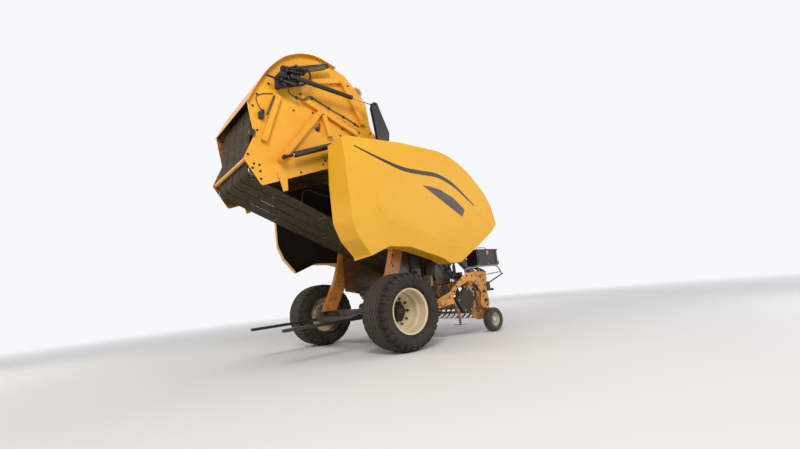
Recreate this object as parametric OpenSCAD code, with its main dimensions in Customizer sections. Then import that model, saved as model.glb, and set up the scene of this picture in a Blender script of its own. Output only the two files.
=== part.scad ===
// Trailed round baler with a belt chamber, its tailgate raised.
// Every place is measured from the axle: X forward, Y to the left, Z up from the ground.

/* [Machine] */
// Distance of the axle behind the middle of the overall length
axle_back = 760; // [600:10:840]
// Inner face of the chamber walls, from the centre line
chamber_half = 672; // [655:1:700]
// Thickness of the chamber walls
wall_t = 8; // [6:1:10]
// Gap left between seated pieces
seat_gap = 0.3; // [0.2:0.1:0.5]
// Radial clearance of a pin in its bore
pin_gap = 0.05; // [0.02:0.01:0.1]

/* [Road wheels] */
// Outer radius of the road tyres
tyre_r = 510; // [480:5:540]
// Width of the road tyres
tyre_w = 500; // [440:10:520]
// Gap between a road tyre and the leg beside it
wheel_gap = 68; // [50:1:120]
// Radius of the rim's outer flange
rim_r = 298; // [280:1:310]
// Width between the rim's flanges
rim_w = 406; // [380:2:420]
// Thickness of the rim
rim_t = 8; // [5:1:10]
// Lugs on each shoulder of a road tyre
lug_count = 30; // [20:1:40]
// Thickness of the road tyres under the tread
tyre_crown_t = 46; // [40:1:60]
// Thickness of the road tyres' side walls
tyre_side_t = 18; // [14:1:24]
// Radius of the stub axles
stub_r = 40; // [30:1:50]
// Side of the square axle beam
axle_side = 120; // [100:5:140]

/* [Tailgate] */
// Hinge of the tailgate, ahead of the axle
hinge_x = 250; // [240:1:260]
// Hinge of the tailgate, above the ground
hinge_z = 2850; // [2840:1:2860]
// Radius of the hinge pin
hinge_r = 30; // [22:1:35]
// Height that the tailgate's ribs stand off its walls
rib_h = 58; // [40:1:62]
// Width of the tailgate's ribs
rib_w = 70; // [50:5:90]
// Thickness of the tailgate's cover
cover_t = 6; // [4:1:8]

/* [Belts and rollers] */
// Width of a belt
belt_w = 275; // [240:5:285]
// Distance from one belt's middle to the next
belt_pitch = 300; // [290:2:310]
// Number of belts
belt_count = 4; // [2:1:4]
// Thickness of a belt
belt_t = 8; // [6:1:10]
// Gap between a roller's drum and the wall
drum_gap = 32; // [22:1:50]
// Radius of the rollers' shafts
shaft_r = 20; // [15:1:25]

/* [Cylinders] */
// Outer radius of the tailgate cylinders
lift_r = 40; // [36:1:42]
// Radius of the tailgate cylinders' rods
lift_rod_r = 20; // [15:1:25]
// Outer radius of the density cylinders
density_r = 32; // [26:1:34]
// Radius of the density cylinders' rods
density_rod_r = 12; // [9:1:13]
// Gap between a tailgate cylinder and the plate that carries it
lift_gap = 8; // [6:1:9]
// Radius of the cylinders' pins
cyl_pin_r = 16; // [12:1:20]
// Thickness of a cylinder's eye
eye_t = 36; // [30:1:40]

/* [Side shields] */
// Depth of a shield, from its inner edge to its outermost face
shield_deep = 307; // [295:1:325]
// Gap between a shield's inner edge and the density cylinder
shield_gap = 6; // [5:1:30]
// Thickness of the shield's moulding
shield_t = 6; // [4:1:9]
// Radius of the shield's bulge
crown_r = 6000; // [4500:100:9000]
// Height of the bulge's widest line
crown_z = 1850; // [1700:10:2000]

/* [Pickup] */
// Reel's axle ahead of the road axle
reel_x = 1700; // [1690:1:1715]
// Reel's axle above the ground
reel_z = 430; // [420:1:450]
// Radius at the tines' tips
tine_r = 262; // [230:1:270]
// Half width of the reel between its side plates
reel_half = 985; // [940:5:990]
// Tine bars round the reel
bar_count = 5; // [4:1:6]
// Distance from one pair of tines to the next
tine_pitch = 122; // [100:2:140]
// Radius of the gauge wheels
gauge_r = 185; // [170:1:200]
// Width of the gauge wheels
gauge_w = 130; // [100:5:140]
// Gap between a gauge wheel and the pickup's side arm
gauge_gap = 15; // [10:1:30]
// Feed rotor's axle ahead of the road axle
rotor_x = 1185; // [1175:1:1190]
// Feed rotor's axle above the ground
rotor_z = 700; // [690:1:710]
// Radius at the feed rotor's fingers
rotor_r = 225; // [200:1:228]

/* [Drawbar] */
// Hitch eye's centre ahead of the road axle
hitch_x = 3300; // [3200:10:3400]
// Hitch eye's middle above the ground
hitch_z = 620; // [600:5:660]
// Radius of the hitch eye's bore
hitch_bore = 25.5; // [20:0.5:32]
// Thickness of the hitch eye
hitch_t = 45; // [35:1:60]
// Width of the drawbar's beams
beam_w = 80; // [60:5:100]
// Height of the drawbar's beams
beam_h = 120; // [100:5:140]
// Jack's place ahead of the road axle
jack_x = 2620; // [2560:10:2680]

/* [Bale ramp] */
// Ramp's reach behind its pivot
ramp_long = 1290; // [1200:10:1350]
// Ramp's side bars from the centre line
ramp_half = 550; // [500:5:580]
// Ramp's pivot behind the axle
ramp_pivot_x = -120; // [-140:1:-115]
// Ramp's pivot above the ground
ramp_pivot_z = 500; // [480:1:520]

/* [Hidden] */
$fn = 64;

yellow = [0.95, 0.68, 0.16];
dark = [0.13, 0.12, 0.12];
steel = [0.55, 0.55, 0.56];
cream = [0.86, 0.82, 0.70];
rubber = [0.09, 0.09, 0.09];

arc_steps = 6;
wall_out = chamber_half + wall_t;

// Chamber walls of the main frame, from the lower rear corner round the front: x, z, corner radius
wall_front = [[1990, 1480, 60], [2030, 1640, 0], [2060, 1760, 150], [1900, 2330, 300], [1290, 2885, 300],
    [255, 2890, 0]];
wall_line = concat([[255, 860, 0], [700, 760, 60], [900, 520, 40], [1340, 500, 60],
    [1425, 600, 60], [1465, 1120, 120], [1880, 1200, 60]], wall_front);
hood_line = [for (i = [1:len(wall_front) - 1]) wall_front[i]];
// Tailgate walls, raised: x, z, corner radius
gate_line = [[104, 2812, 20], [-1440, 2284, 20], [-1630, 2220, 40], [-1840, 2545, 25],
    [-1700, 2860, 40], [-1770, 3290, 60], [-1120, 4085, 140], [-780, 4180, 120],
    [-300, 4030, 120], [40, 3680, 100], [100, 3250, 150], [345, 2960, 80], [345, 2740, 80],
    [150, 2740, 40]];
// Tailgate cover, from its front lip over the top to its rear lip: x, z, corner radius
cover_line = [[-470, 4083, 0], [-780, 4180, 120], [-1120, 4085, 140], [-1770, 3290, 0]];
// Side shield, from its lower rear corner round the front: x, z, corner radius
shield_line = [[-640, 1182, 0], [-150, 1378, 200], [220, 1368, 400], [850, 1195, 600],
    [1110, 1050, 40], [2000, 1580, 150], [2155, 1730, 60], [2030, 2180, 900],
    [1590, 2650, 1200], [1180, 2885, 900], [300, 2916, 0], [-650, 2866, 60], [-880, 2730, 0],
    [-900, 1182, 0]];
// Crease where a shield folds in at the back, from its foot up: x, z, corner radius
crease_line = [[-400, 1120, 0], [-440, 1275, 80], [-612, 1477, 150], [-709, 1698, 300],
    [-728, 2233, 500], [-705, 2746, 60], [-735, 2990, 0]];
// Distance of the crease from the centre line, inside the outermost face, and the fold's angle
crease_in = 12;
fold_turn = 18.4;
// Vent in the side shield: x, z, corner radius
vent_line = [[1330, 1820, 12], [1410, 1940, 12], [1180, 2120, 200], [920, 2232, 120],
    [510, 2305, 4], [800, 2130, 400]];
// Legs between walls and axle: x, z, corner radius
axle_top = tyre_r + axle_side / 2;
leg_t = 8;
leg_line = [[-165, axle_top + leg_t, 5], [75, axle_top + leg_t, 5], [360, 1070, 120],
    [500, 1480, 20], [500, 1900, 20], [300, 1900, 20], [205, 1400, 200], [95, 1070, 200]];
// Frame plates that carry the hinge pin, the lift cylinder and the density arm
bracket_line = [[-410, 2885, 40], [-300, 2880, 40], [180, 2740, 40], [560, 2600, 30],
    [560, 2830, 30], [430, 2878, 30], [300, 2965, 60], [60, 3000, 60], [-380, 3010, 50]];

// Belt rollers of the main frame, in the order that the belts meet them: x, z, radius
front_rollers_at = [[1020, 1220, 100], [1790, 1700, 45], [1620, 2310, 45], [900, 2750, 50]];
// Belt rollers of the tailgate, raised, in the same order
gate_rollers_at = [[-60, 3840, 60], [-760, 4010, 60], [-1610, 3290, 60], [-1690, 2430, 75]];
// The roller round the hinge, on the belts' other side
hinge_roller_r = 60;
hinge_roller_at = [hinge_x, hinge_z, -hinge_roller_r];
floor_roller_at = [600, 805, 90];

drum_half = chamber_half - drum_gap;
leg_y = wall_out + 25;
leg_deep = 92;
bracket_y = wall_out + 72;
bracket_t = 10;
lift_y = bracket_y + bracket_t + lift_gap + lift_r;
wheel_y = leg_y + leg_deep + wheel_gap + tyre_w / 2;
lift_foot = [-350, 2950];
lift_eye = [-1375, 2575];
density_foot = [-1230, 3672];
density_eye = [60, 3560];
// The density cylinders' rods pass outside the tailgate cylinders
density_y = lift_y + lift_r + 5 + density_rod_r;
pin_head = 6;
hub_y = wheel_y - 135;
shield_in = density_y + density_r + shield_gap;
shield_out = shield_in + shield_deep;
rotor_shaft_r = 30;
rotor_boss_r = 70;
wind_rod_r = 18;
drive_y = wall_out + 104;
hood_half = wall_out + 140;
hood_t = 4;
shield_pivot = [hood_half + 22, 2962];
shield_hinges_at = [450, 1100];
ramp_bar_z = 455;

function unit(v) = v / norm(v);
function turn(a) = a - 360 * floor(a / 360);

// Points of the arc of radius r that rounds corner b between a and c
function corner_arc(a, b, c, r) =
    let(u = unit(a - b), v = unit(c - b), half = acos(u * v) / 2, reach = r / tan(half),
        centre = b + unit(u + v) * r / sin(half), p = b + u * reach - centre,
        q = b + v * reach - centre, first = atan2(p[1], p[0]),
        sweep = turn(atan2(q[1], q[0]) - first + 180) - 180)
    [for (i = [0:arc_steps]) centre + r * [cos(first + sweep * i / arc_steps),
        sin(first + sweep * i / arc_steps)]];

// A closed outline with each corner rounded
function rounded(rows) = let(n = len(rows), at = [for (row = rows) [row[0], row[1]]])
    [for (i = [0:n - 1]) each rows[i][2] > 0
        ? corner_arc(at[(i + n - 1) % n], at[i], at[(i + 1) % n], rows[i][2]) : [at[i]]];

// An open line with its inner corners rounded
function rounded_run(rows) = let(n = len(rows), at = [for (row = rows) [row[0], row[1]]])
    [for (i = [0:n - 1]) each rows[i][2] > 0 && i > 0 && i < n - 1
        ? corner_arc(at[i - 1], at[i], at[i + 1], rows[i][2]) : [at[i]]];

function left_of(a, b) = let(d = unit(b - a)) [-d[1], d[0]];
// A vertex moved to its left by d along the line from a through b to c
function shifted(a, b, c, d) = let(m = left_of(a, b), n = left_of(b, c)) b + d * (m + n) / (1 + m * n);

// A closed anticlockwise outline moved inwards by d
function inset(line, d) = let(n = len(line))
    [for (i = [0:n - 1]) shifted(line[(i + n - 1) % n], line[i], line[(i + 1) % n], d)];

// An open line moved to its right by d
function beside(line, d) = let(n = len(line)) [for (i = [0:n - 1])
    i == 0 ? line[0] - d * left_of(line[0], line[1])
    : i == n - 1 ? line[i] - d * left_of(line[i - 1], line[i])
    : shifted(line[i - 1], line[i], line[i + 1], -d)];
// A strip on the right of an open line, between two distances from it
function strip(line, near, far) = concat(beside(line, near), reversed(beside(line, far)));

// Direction from a roller's centre to where the belt leaves it for the next one
function tangent(a, b) = let(d = [b[0] - a[0], b[1] - a[1]], u = unit(d), s = (a[2] - b[2]) / norm(d))
    [u[1], -u[0]] * sqrt(1 - s * s) + u * s;
function on_roller(a, dir, out) = [a[0], a[1]] + (a[2] + out) * dir;
function roller_arc(a, from, to, out) = let(first = atan2(from[1], from[0]),
        last = atan2(to[1], to[0]), sweep = a[2] > 0 ? turn(last - first) : -turn(first - last))
    [for (i = [0:arc_steps * 2]) let(at = first + sweep * i / (arc_steps * 2))
        on_roller(a, [cos(at), sin(at)], out)];
// A belt's face over the rollers from..to of a closed loop, with its ends at the next tangents
function belt_face(loop, from, to, out) = let(n = len(loop))
    [for (k = [from:to]) each roller_arc(loop[k % n], tangent(loop[(k + n - 1) % n], loop[k % n]),
        tangent(loop[k % n], loop[(k + 1) % n]), out)];
// Belts lie a seat gap off their rollers, on either side of the belts
function side_gap(a) = a[2] > 0 ? [a[0], a[1], a[2] + seat_gap]
    : [a[0], a[1], a[2] - seat_gap - belt_t];
belt_loop = [for (a = concat(front_rollers_at, [hinge_roller_at], gate_rollers_at)) side_gap(a)];
front_n = len(front_rollers_at);
loop_n = len(belt_loop);
function hop(i, out) = let(a = belt_loop[i % loop_n], b = belt_loop[(i + 1) % loop_n],
    dir = tangent(a, b)) [on_roller(a, dir, out), on_roller(b, dir, out)];
function reversed(line) = [for (i = [len(line) - 1:-1:0]) line[i]];

module at_axle() { translate([-axle_back, 0, 0]) children(); }
module on_side(side) { if (side > 0) children(); else mirror([0, 1, 0]) children(); }
// A plate in the XZ plane between two distances from the centre line
module plate(line, y0, y1) {
    translate([0, y1, 0]) rotate([90, 0, 0]) linear_extrude(y1 - y0) polygon(line);
}
// Flat shapes drawn in X and Z, made solid between two distances from the centre line
module slab(y0, y1) { translate([0, y1, 0]) rotate([90, 0, 0]) linear_extrude(y1 - y0) children(); }
module stroke(p, q, w) {
    translate(p) rotate([0, 0, atan2(q[1] - p[1], q[0] - p[0])])
        translate([0, -w / 2]) square([norm(q - p), w]);
}
module rod(x, z, y0, y1, r) { translate([x, y1, z]) rotate([90, 0, 0]) cylinder(h = y1 - y0, r = r); }
// A bar of radius r between two points
module bar(p, q, r) {
    d = q - p;
    translate(p) rotate([0, acos(d[2] / norm(d)), atan2(d[1], d[0])]) cylinder(h = norm(d), r = r);
}
// A beam of width w and height h between two points
module beam(p, q, w, h) {
    d = q - p;
    flat = norm([d[0], d[1]]);
    translate(p) rotate([0, -atan2(d[2], flat), atan2(d[1], d[0])])
        translate([0, -w / 2, -h / 2]) cube([norm(d), w, h]);
}
// What lies along a line in the XZ plane is built along +X from p and turned towards q
module along(p, q, y) {
    translate([p[0], y, p[1]]) rotate([0, -atan2(q[1] - p[1], q[0] - p[0]), 0]) children();
}

module chamber_wall(side) {
    on_side(side) {
        difference() {
            union() {
                difference() {
                    plate(rounded(wall_line), chamber_half, wall_out);
                    rod(hinge_x, hinge_z, chamber_half - 1, wall_out + 1, 190);
                }
                plate(rounded(leg_line), leg_y, leg_y + leg_t);
                plate(strip(rounded_run([[-165, axle_top + leg_t, 0], [95, 1070, 200],
                    [205, 1400, 200], [280, 1780, 0]]), 0, leg_t), leg_y, leg_y + leg_deep);
                translate([-165, leg_y, axle_top]) cube([240, leg_deep, leg_t]);
                translate([310, wall_out - 1, 1540]) cube([180, leg_y - wall_out + 2, 330]);
                plate(rounded(bracket_line), bracket_y, bracket_y + bracket_t);
                translate([470, wall_out - 1, 2640]) cube([80, bracket_y - wall_out + 2, 190]);
                rod(rotor_x, rotor_z, wall_out - 1, wall_out + 80, rotor_boss_r);
                for (x = shield_hinges_at) shield_bracket(x);
            }
            rod(rotor_x, rotor_z, chamber_half - 1, wall_out + 90, rotor_shaft_r + pin_gap);
        }
        rod(hinge_x, hinge_z, drum_half + seat_gap, bracket_y + bracket_t + 8, hinge_r);
        rod(lift_foot[0], lift_foot[1], bracket_y, lift_y + eye_t / 2 + pin_head, cyl_pin_r);
    }
}
// Bracket that carries a shield's hinge pin, beside the hood
module shield_bracket(x) {
    translate([x - 40, wall_out - 1, 2780]) cube([30, shield_pivot[0] - wall_out + 13, 60]);
    translate([x - 40, shield_pivot[0] - 12, 2780]) cube([30, 24, 182]);
    translate([x - 40, shield_pivot[0], shield_pivot[1]]) rotate([0, 90, 0]) cylinder(h = 30, r = 22);
    translate([x - 11, shield_pivot[0], shield_pivot[1]]) rotate([0, 90, 0]) cylinder(h = 26, r = 10);
}
module wall_right() { color(yellow) at_axle() chamber_wall(-1); }
module wall_left() { color(yellow) at_axle() chamber_wall(1); }

module axle() {
    color(dark) at_axle() {
        difference() {
            union() {
                translate([-axle_side / 2, -leg_y - leg_deep, tyre_r - axle_side / 2])
                    cube([axle_side, 2 * (leg_y + leg_deep), axle_side]);
                for (side = [-1, 1]) on_side(side) {
                    rod(0, tyre_r, leg_y, hub_y + 30, stub_r);
                    for (y = [ramp_half - 90, ramp_half - 40]) translate([ramp_pivot_x, y, ramp_pivot_z - 30])
                        cube([-ramp_pivot_x - axle_side / 2 + 1, 20, 60]);
                    for (y = [ramp_half - 90, ramp_half - 40]) rod(ramp_pivot_x, ramp_pivot_z, y, y + 20, 30);
                }
            }
            for (side = [-1, 1]) on_side(side)
                rod(ramp_pivot_x, ramp_pivot_z, ramp_half - 100, ramp_half - 10, 14 + pin_gap);
        }
    }
}

// Rear end of the drawbar's beams: x, distance from the chamber wall, z
beam_foot = [1850, 192, 1295];
beam_front_x = hitch_x - 260;
// One of the drawbar's two beams, thicker all round by a clearance
module drawbar_beam(side, extra) {
    beam([beam_foot[0], side * (chamber_half - beam_foot[1]), beam_foot[2]],
        [beam_front_x, side * 75, hitch_z + 60], beam_w + 2 * extra, beam_h + 2 * extra);
}
module drawbar() {
    color(dark) at_axle() {
        translate([beam_foot[0] - 70, -chamber_half, beam_foot[2] - 55]) cube([100, 2 * chamber_half, 110]);
        for (side = [-1, 1]) drawbar_beam(side, 0);
        translate([hitch_x - 400, -120, hitch_z - 20]) cube([240, 240, 130]);
        difference() {
            union() {
                translate([hitch_x, 0, hitch_z - hitch_t / 2]) cylinder(h = hitch_t, r = hitch_bore + 30);
                translate([hitch_x - 200, -45, hitch_z - hitch_t / 2]) cube([195 - hitch_bore, 90, hitch_t]);
            }
            translate([hitch_x, 0, hitch_z - hitch_t]) cylinder(h = 2 * hitch_t, r = hitch_bore);
        }
    }
}

jack_y = 320;
jack_r = 32;
module jack_sleeve() {
    color(dark) at_axle() {
        difference() {
            union() {
                translate([jack_x, jack_y, 420]) cylinder(h = 760, r = jack_r);
                translate([jack_x - 40, 150, 880]) cube([80, jack_y - 150, 140]);
            }
            drawbar_beam(1, seat_gap);
            translate([jack_x, jack_y, 400]) cylinder(h = 740, r = jack_r - 6);
        }
        translate([jack_x, jack_y, 1180]) cylinder(h = 50, r = 14);
        translate([jack_x - 120, jack_y - 8, 1210]) cube([134, 16, 16]);
    }
}
module jack_leg() {
    color(steel) at_axle() {
        translate([jack_x, jack_y, 12]) cylinder(h = 820, r = jack_r - 6 - pin_gap);
        translate([jack_x - 90, jack_y - 90, 0]) cube([180, 180, 12]);
    }
}

module gearbox() {
    color(dark) at_axle() {
        translate([1790, -130, 1350]) cube([240, 260, 240]);
        translate([2030, 0, 1460]) rotate([0, 90, 0]) cylinder(h = 60, r = 60);
        translate([1900, 130, 1470]) rotate([-90, 0, 0]) cylinder(h = chamber_half - 130, r = 35);
        translate([1900, -130, 1470]) rotate([90, 0, 0]) cylinder(h = chamber_half - 130, r = 35);
    }
}

pto_end = [3150, 0, 960];
module pto_shaft() {
    color(dark) at_axle() {
        start = [2090.3, 0, 1460];
        dir = unit(pto_end - start);
        translate(start) rotate([0, 90, 0]) cylinder(h = 70, r = 45);
        bar(start + [60, 0, 0], pto_end - 120 * dir, 38);
        difference() {
            bar(pto_end - 130 * dir, pto_end, 48);
            bar(pto_end - 76 * dir, pto_end + dir, 17.5);
        }
        translate([2960, -20, hitch_z + 110]) cube([30, 40, 290]);
    }
}

// Rear edge of the hood over the tailgate's hinge: x, z
hood_back = [440, 2600];
module front_hood() {
    color(yellow) at_axle() difference() {
        plate(strip(rounded_run(hood_line), seat_gap, hood_t), -hood_half, hood_half);
        translate([0, -hood_half - 1, hood_back[1]]) cube([hood_back[0], 2 * hood_half + 2, 400]);
    }
}

// Curved floor under the feed rotor
module feeder_floor() {
    color(dark) at_axle() translate([rotor_x, chamber_half, rotor_z]) rotate([90, 0, 0])
        rotate([0, 0, 200]) linear_extrude(2 * chamber_half) difference() {
            circle(r = rotor_r + 21);
            circle(r = rotor_r + 15);
            translate([-400, 0]) square([800, 400]);
            rotate([0, 0, -50]) translate([-400, 0]) square([400, 400]);
        }
}

module roller(a) {
    rod(a[0], a[1], -drum_half, drum_half, abs(a[2]));
    rod(a[0], a[1], -chamber_half, chamber_half, shaft_r);
}
module front_rollers() {
    color(steel) at_axle() {
        for (a = front_rollers_at) roller(a);
        roller(floor_roller_at);
        rod(hinge_x, hinge_z, -drum_half, drum_half, hinge_roller_r);
    }
}
// Belts side by side, cut to one outline
module belts(line) {
    for (i = [0:belt_count - 1]) {
        y = (i - (belt_count - 1) / 2) * belt_pitch;
        plate(line, y - belt_w / 2, y + belt_w / 2);
    }
}
module front_belts() {
    last = front_n - 1;
    color(rubber) at_axle() belts(concat(belt_face(belt_loop, 0, last, belt_t), [hop(last, belt_t)[1]],
        [hop(last, 0)[1]], reversed(belt_face(belt_loop, 0, last, 0))));
}
module gate_belts() {
    first = front_n + 1;
    last = loop_n - 1;
    color(rubber) at_axle() belts(concat([hop(front_n, belt_t)[0]], belt_face(belt_loop, first, last, belt_t),
        reversed(belt_face(belt_loop, first, last, 0)), [hop(front_n, 0)[0]]));
}
module belt_span() {
    color(rubber) at_axle() {
        belts(concat(hop(loop_n - 1, belt_t), reversed(hop(loop_n - 1, 0))));
        belts(concat(belt_face(belt_loop, front_n, front_n, belt_t),
            reversed(belt_face(belt_loop, front_n, front_n, 0))));
    }
}

// Arm that holds a density cylinder's rod, and the block that seats it on the bracket
arm_line = [[hinge_x - 180, 2890, 10], [hinge_x - 5, 2890, 10], [290, 3140, 30], [105, 3600, 25],
    [25, 3590, 25], [0, 3500, 20], [50, 3150, 60]];
arm_t = 8;
arm_clear = 2;
module density_arms() {
    inner = density_y - eye_t / 2 - arm_clear - arm_t;
    outer = density_y + eye_t / 2 + arm_clear;
    color(dark) at_axle() for (side = [-1, 1]) on_side(side) {
        for (y = [inner, outer]) slab(y, y + arm_t) difference() {
            polygon(rounded(arm_line));
            translate(density_eye) circle(r = cyl_pin_r + 4);
        }
        translate([hinge_x - 170, bracket_y + bracket_t + seat_gap, 2900])
            cube([150, outer - bracket_y - bracket_t + 1, 80]);
    }
}

// Chain round the side drive's sprockets: x, z, radius
sprockets_at = [[rotor_x, rotor_z, 110], [1560, 1560, 70], [1020, 1220, 100]];
sprocket_t = 12;
chain_pitch = 38;
chain_line = belt_face(sprockets_at, 0, len(sprockets_at) - 1, 0);
function chain_step(i) = norm(chain_line[(i + 1) % len(chain_line)] - chain_line[i]);
function chain_long(i) = i < 0 ? 0 : chain_step(i) + chain_long(i - 1);
// A point of the chain's line, a distance along it
function on_chain(far, i) = far <= chain_step(i) || i == len(chain_line) - 1
    ? chain_line[i] + far * unit(chain_line[(i + 1) % len(chain_line)] - chain_line[i])
    : on_chain(far - chain_step(i), i + 1);
module chain_links() {
    whole = chain_long(len(chain_line) - 1);
    count = 2 * round(whole / chain_pitch / 2);
    for (k = [0:count - 1]) {
        p = on_chain(whole / count * k, 0);
        stroke(p, on_chain(whole / count * (k + 1), 0), k % 2 == 0 ? 12 : 8);
        translate(p) circle(r = 9, $fn = 8);
    }
}
module sprocket(a) {
    count = round(2 * PI * a[2] / chain_pitch);
    translate([a[0], a[1]]) {
        circle(r = a[2] - 7);
        for (k = [0:count - 1]) rotate([0, 0, 360 / count * k])
            polygon([[a[2] - 12, -8], [a[2] + 3, -3], [a[2] + 3, 3], [a[2] - 12, 8]]);
    }
}
module side_drive() {
    color(dark) at_axle() on_side(-1) {
        for (k = [1, 2]) rod(sprockets_at[k][0], sprockets_at[k][1], wall_out, drive_y + 1, 30);
        slab(drive_y, drive_y + sprocket_t) difference() {
            union() {
                chain_links();
                for (a = sprockets_at) sprocket(a);
            }
            translate([rotor_x, rotor_z]) circle(r = rotor_shaft_r + pin_gap);
        }
    }
}

module valve_box() {
    color(dark) at_axle() {
        translate([1885, -wall_out - 255, 1070]) cube([540, 235, 240]);
        translate([1800, -wall_out - 21, 1215]) cube([120, 21 - seat_gap, 85]);
    }
}

// Ribs on a tailgate wall, raised: x and z of both ends
gate_ribs_at = [[-1370, 3440, -1590, 2790], [-770, 3340, -1390, 2560], [-1040, 3490, -200, 3120],
    [-720, 3300, -640, 3000], [-860, 3770, -380, 3910], [-380, 3910, -60, 3290]];
// Latch hook, which passes outside the main frame's wall when the tailgate shuts
latch_line = [[-1430, 2410], [-1360, 2160], [-1300, 2180], [-1300, 2330], [-1330, 2420]];
latch_gap = 6;
module gate_wall(side) {
    on_side(side) {
        difference() {
            union() {
                plate(rounded(gate_line), chamber_half, wall_out);
                rod(hinge_x, hinge_z, wall_out - 1, bracket_y - 4, 85);
                slab(wall_out - 1, wall_out + rib_h)
                    for (r = gate_ribs_at) stroke([r[0], r[1]], [r[2], r[3]], rib_w);
            }
            rod(hinge_x, hinge_z, chamber_half - 1, bracket_y, hinge_r + pin_gap);
        }
        rod(lift_eye[0], lift_eye[1], wall_out - 1, lift_y - lift_rod_r - seat_gap, 45);
        rod(density_foot[0], density_foot[1], wall_out - 1, density_y - density_r - seat_gap, 40);
        rod(density_foot[0], density_foot[1], wall_out - 1, density_y + eye_t / 2 + pin_head, cyl_pin_r);
        plate(latch_line, wall_out + latch_gap, wall_out + latch_gap + 12);
        translate([-1425, wall_out - 1, 2345]) cube([80, latch_gap + 2, 65]);
    }
}
module gate_wall_right() { color(yellow) at_axle() gate_wall(-1); }
module gate_wall_left() { color(yellow) at_axle() gate_wall(1); }
module gate_tubes() {
    color(yellow) at_axle() {
        rod(-1795, 2560, -chamber_half, chamber_half, 24);
        rod(-210, 3790, -chamber_half, chamber_half, 30);
        rod(-1330, 3730, -chamber_half, chamber_half, 25);
    }
}
module gate_cover() {
    half = wall_out + rib_h;
    color(yellow) at_axle() plate(strip(rounded_run(cover_line), seat_gap, cover_t), -half, half);
}
module gate_rollers() { color(steel) at_axle() for (a = gate_rollers_at) roller(a); }
// Black plate that carries the density cylinder's valves: x, z, corner radius
valve_plate_line = [[-1440, 3560, 20], [-1380, 3500, 20], [-1110, 3600, 30], [-1070, 3790, 20],
    [-610, 4010, 20], [-640, 4070, 15], [-1090, 3900, 40], [-1300, 3830, 40], [-1450, 3640, 20]];
valve_stand = 108;
valve_plate_t = 10;
module gate_valves() {
    color(dark) at_axle() for (side = [-1, 1]) on_side(side) {
        for (x = [-1400, -1200]) translate([x, wall_out, x == -1400 ? 3550 : 3740])
            cube([70, valve_stand + 1, 80]);
        slab(wall_out + valve_stand, wall_out + valve_stand + valve_plate_t) difference() {
            polygon(rounded(valve_plate_line));
            translate(density_foot) circle(r = 40 + seat_gap);
        }
        translate([-1360, wall_out + valve_stand + valve_plate_t - 1, 3735]) cube([190, 70, 70]);
    }
}

module cylinder_barrel(foot, eye, y, long, r, bore) {
    along(foot, eye, y) difference() {
        union() {
            translate([0, eye_t / 2, 0]) rotate([90, 0, 0]) cylinder(h = eye_t, r = 34);
            translate([44, 0, 0]) rotate([0, 90, 0]) cylinder(h = long - 44, r = r);
            translate([0, -eye_t / 2, -20]) cube([50, eye_t, 40]);
        }
        translate([0, eye_t, 0]) rotate([90, 0, 0]) cylinder(h = 2 * eye_t, r = cyl_pin_r + pin_gap);
        translate([60, 0, 0]) rotate([0, 90, 0]) cylinder(h = long, r = bore + pin_gap);
    }
}
// The rod's eye carries a pin of its own, because the linkage is opened there
module cylinder_rod(foot, eye, y, r) {
    gone = norm(eye - foot);
    pin_half = eye_t / 2 + 1;
    along(foot, eye, y) {
        translate([66, 0, 0]) rotate([0, 90, 0]) cylinder(h = gone - 91, r = r);
        translate([gone, eye_t / 2, 0]) rotate([90, 0, 0]) cylinder(h = eye_t, r = 30);
        translate([gone, pin_half, 0]) rotate([90, 0, 0]) cylinder(h = 2 * pin_half, r = cyl_pin_r);
    }
}
lift_long = norm(lift_foot - lift_eye) - 150;
density_long = 915;
module lift_barrel(side) {
    color(dark) at_axle() on_side(side)
        cylinder_barrel(lift_foot, lift_eye, lift_y, lift_long, lift_r, lift_rod_r);
}
module lift_rod(side) {
    color(steel) at_axle() on_side(side)
        cylinder_rod(lift_foot, lift_eye, lift_y, lift_rod_r);
}
module density_barrel(side) {
    color(dark) at_axle() on_side(side)
        cylinder_barrel(density_foot, density_eye, density_y, density_long, density_r, density_rod_r);
}
module density_rod(side) {
    color(steel) at_axle() on_side(side)
        cylinder_rod(density_foot, density_eye, density_y, density_rod_r);
}
module lift_barrel_right() { lift_barrel(-1); }
module lift_barrel_left() { lift_barrel(1); }
module lift_rod_right() { lift_rod(-1); }
module lift_rod_left() { lift_rod(1); }
module density_barrel_right() { density_barrel(-1); }
module density_barrel_left() { density_barrel(1); }
module density_rod_right() { density_rod(-1); }
module density_rod_left() { density_rod(1); }

// The space inside a shield's bulged face, less a depth
module bulge(deep) {
    translate([-1500, shield_out - crown_r, crown_z]) rotate([0, 90, 0])
        cylinder(h = 4500, r = crown_r - deep, $fn = 360);
}
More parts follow.
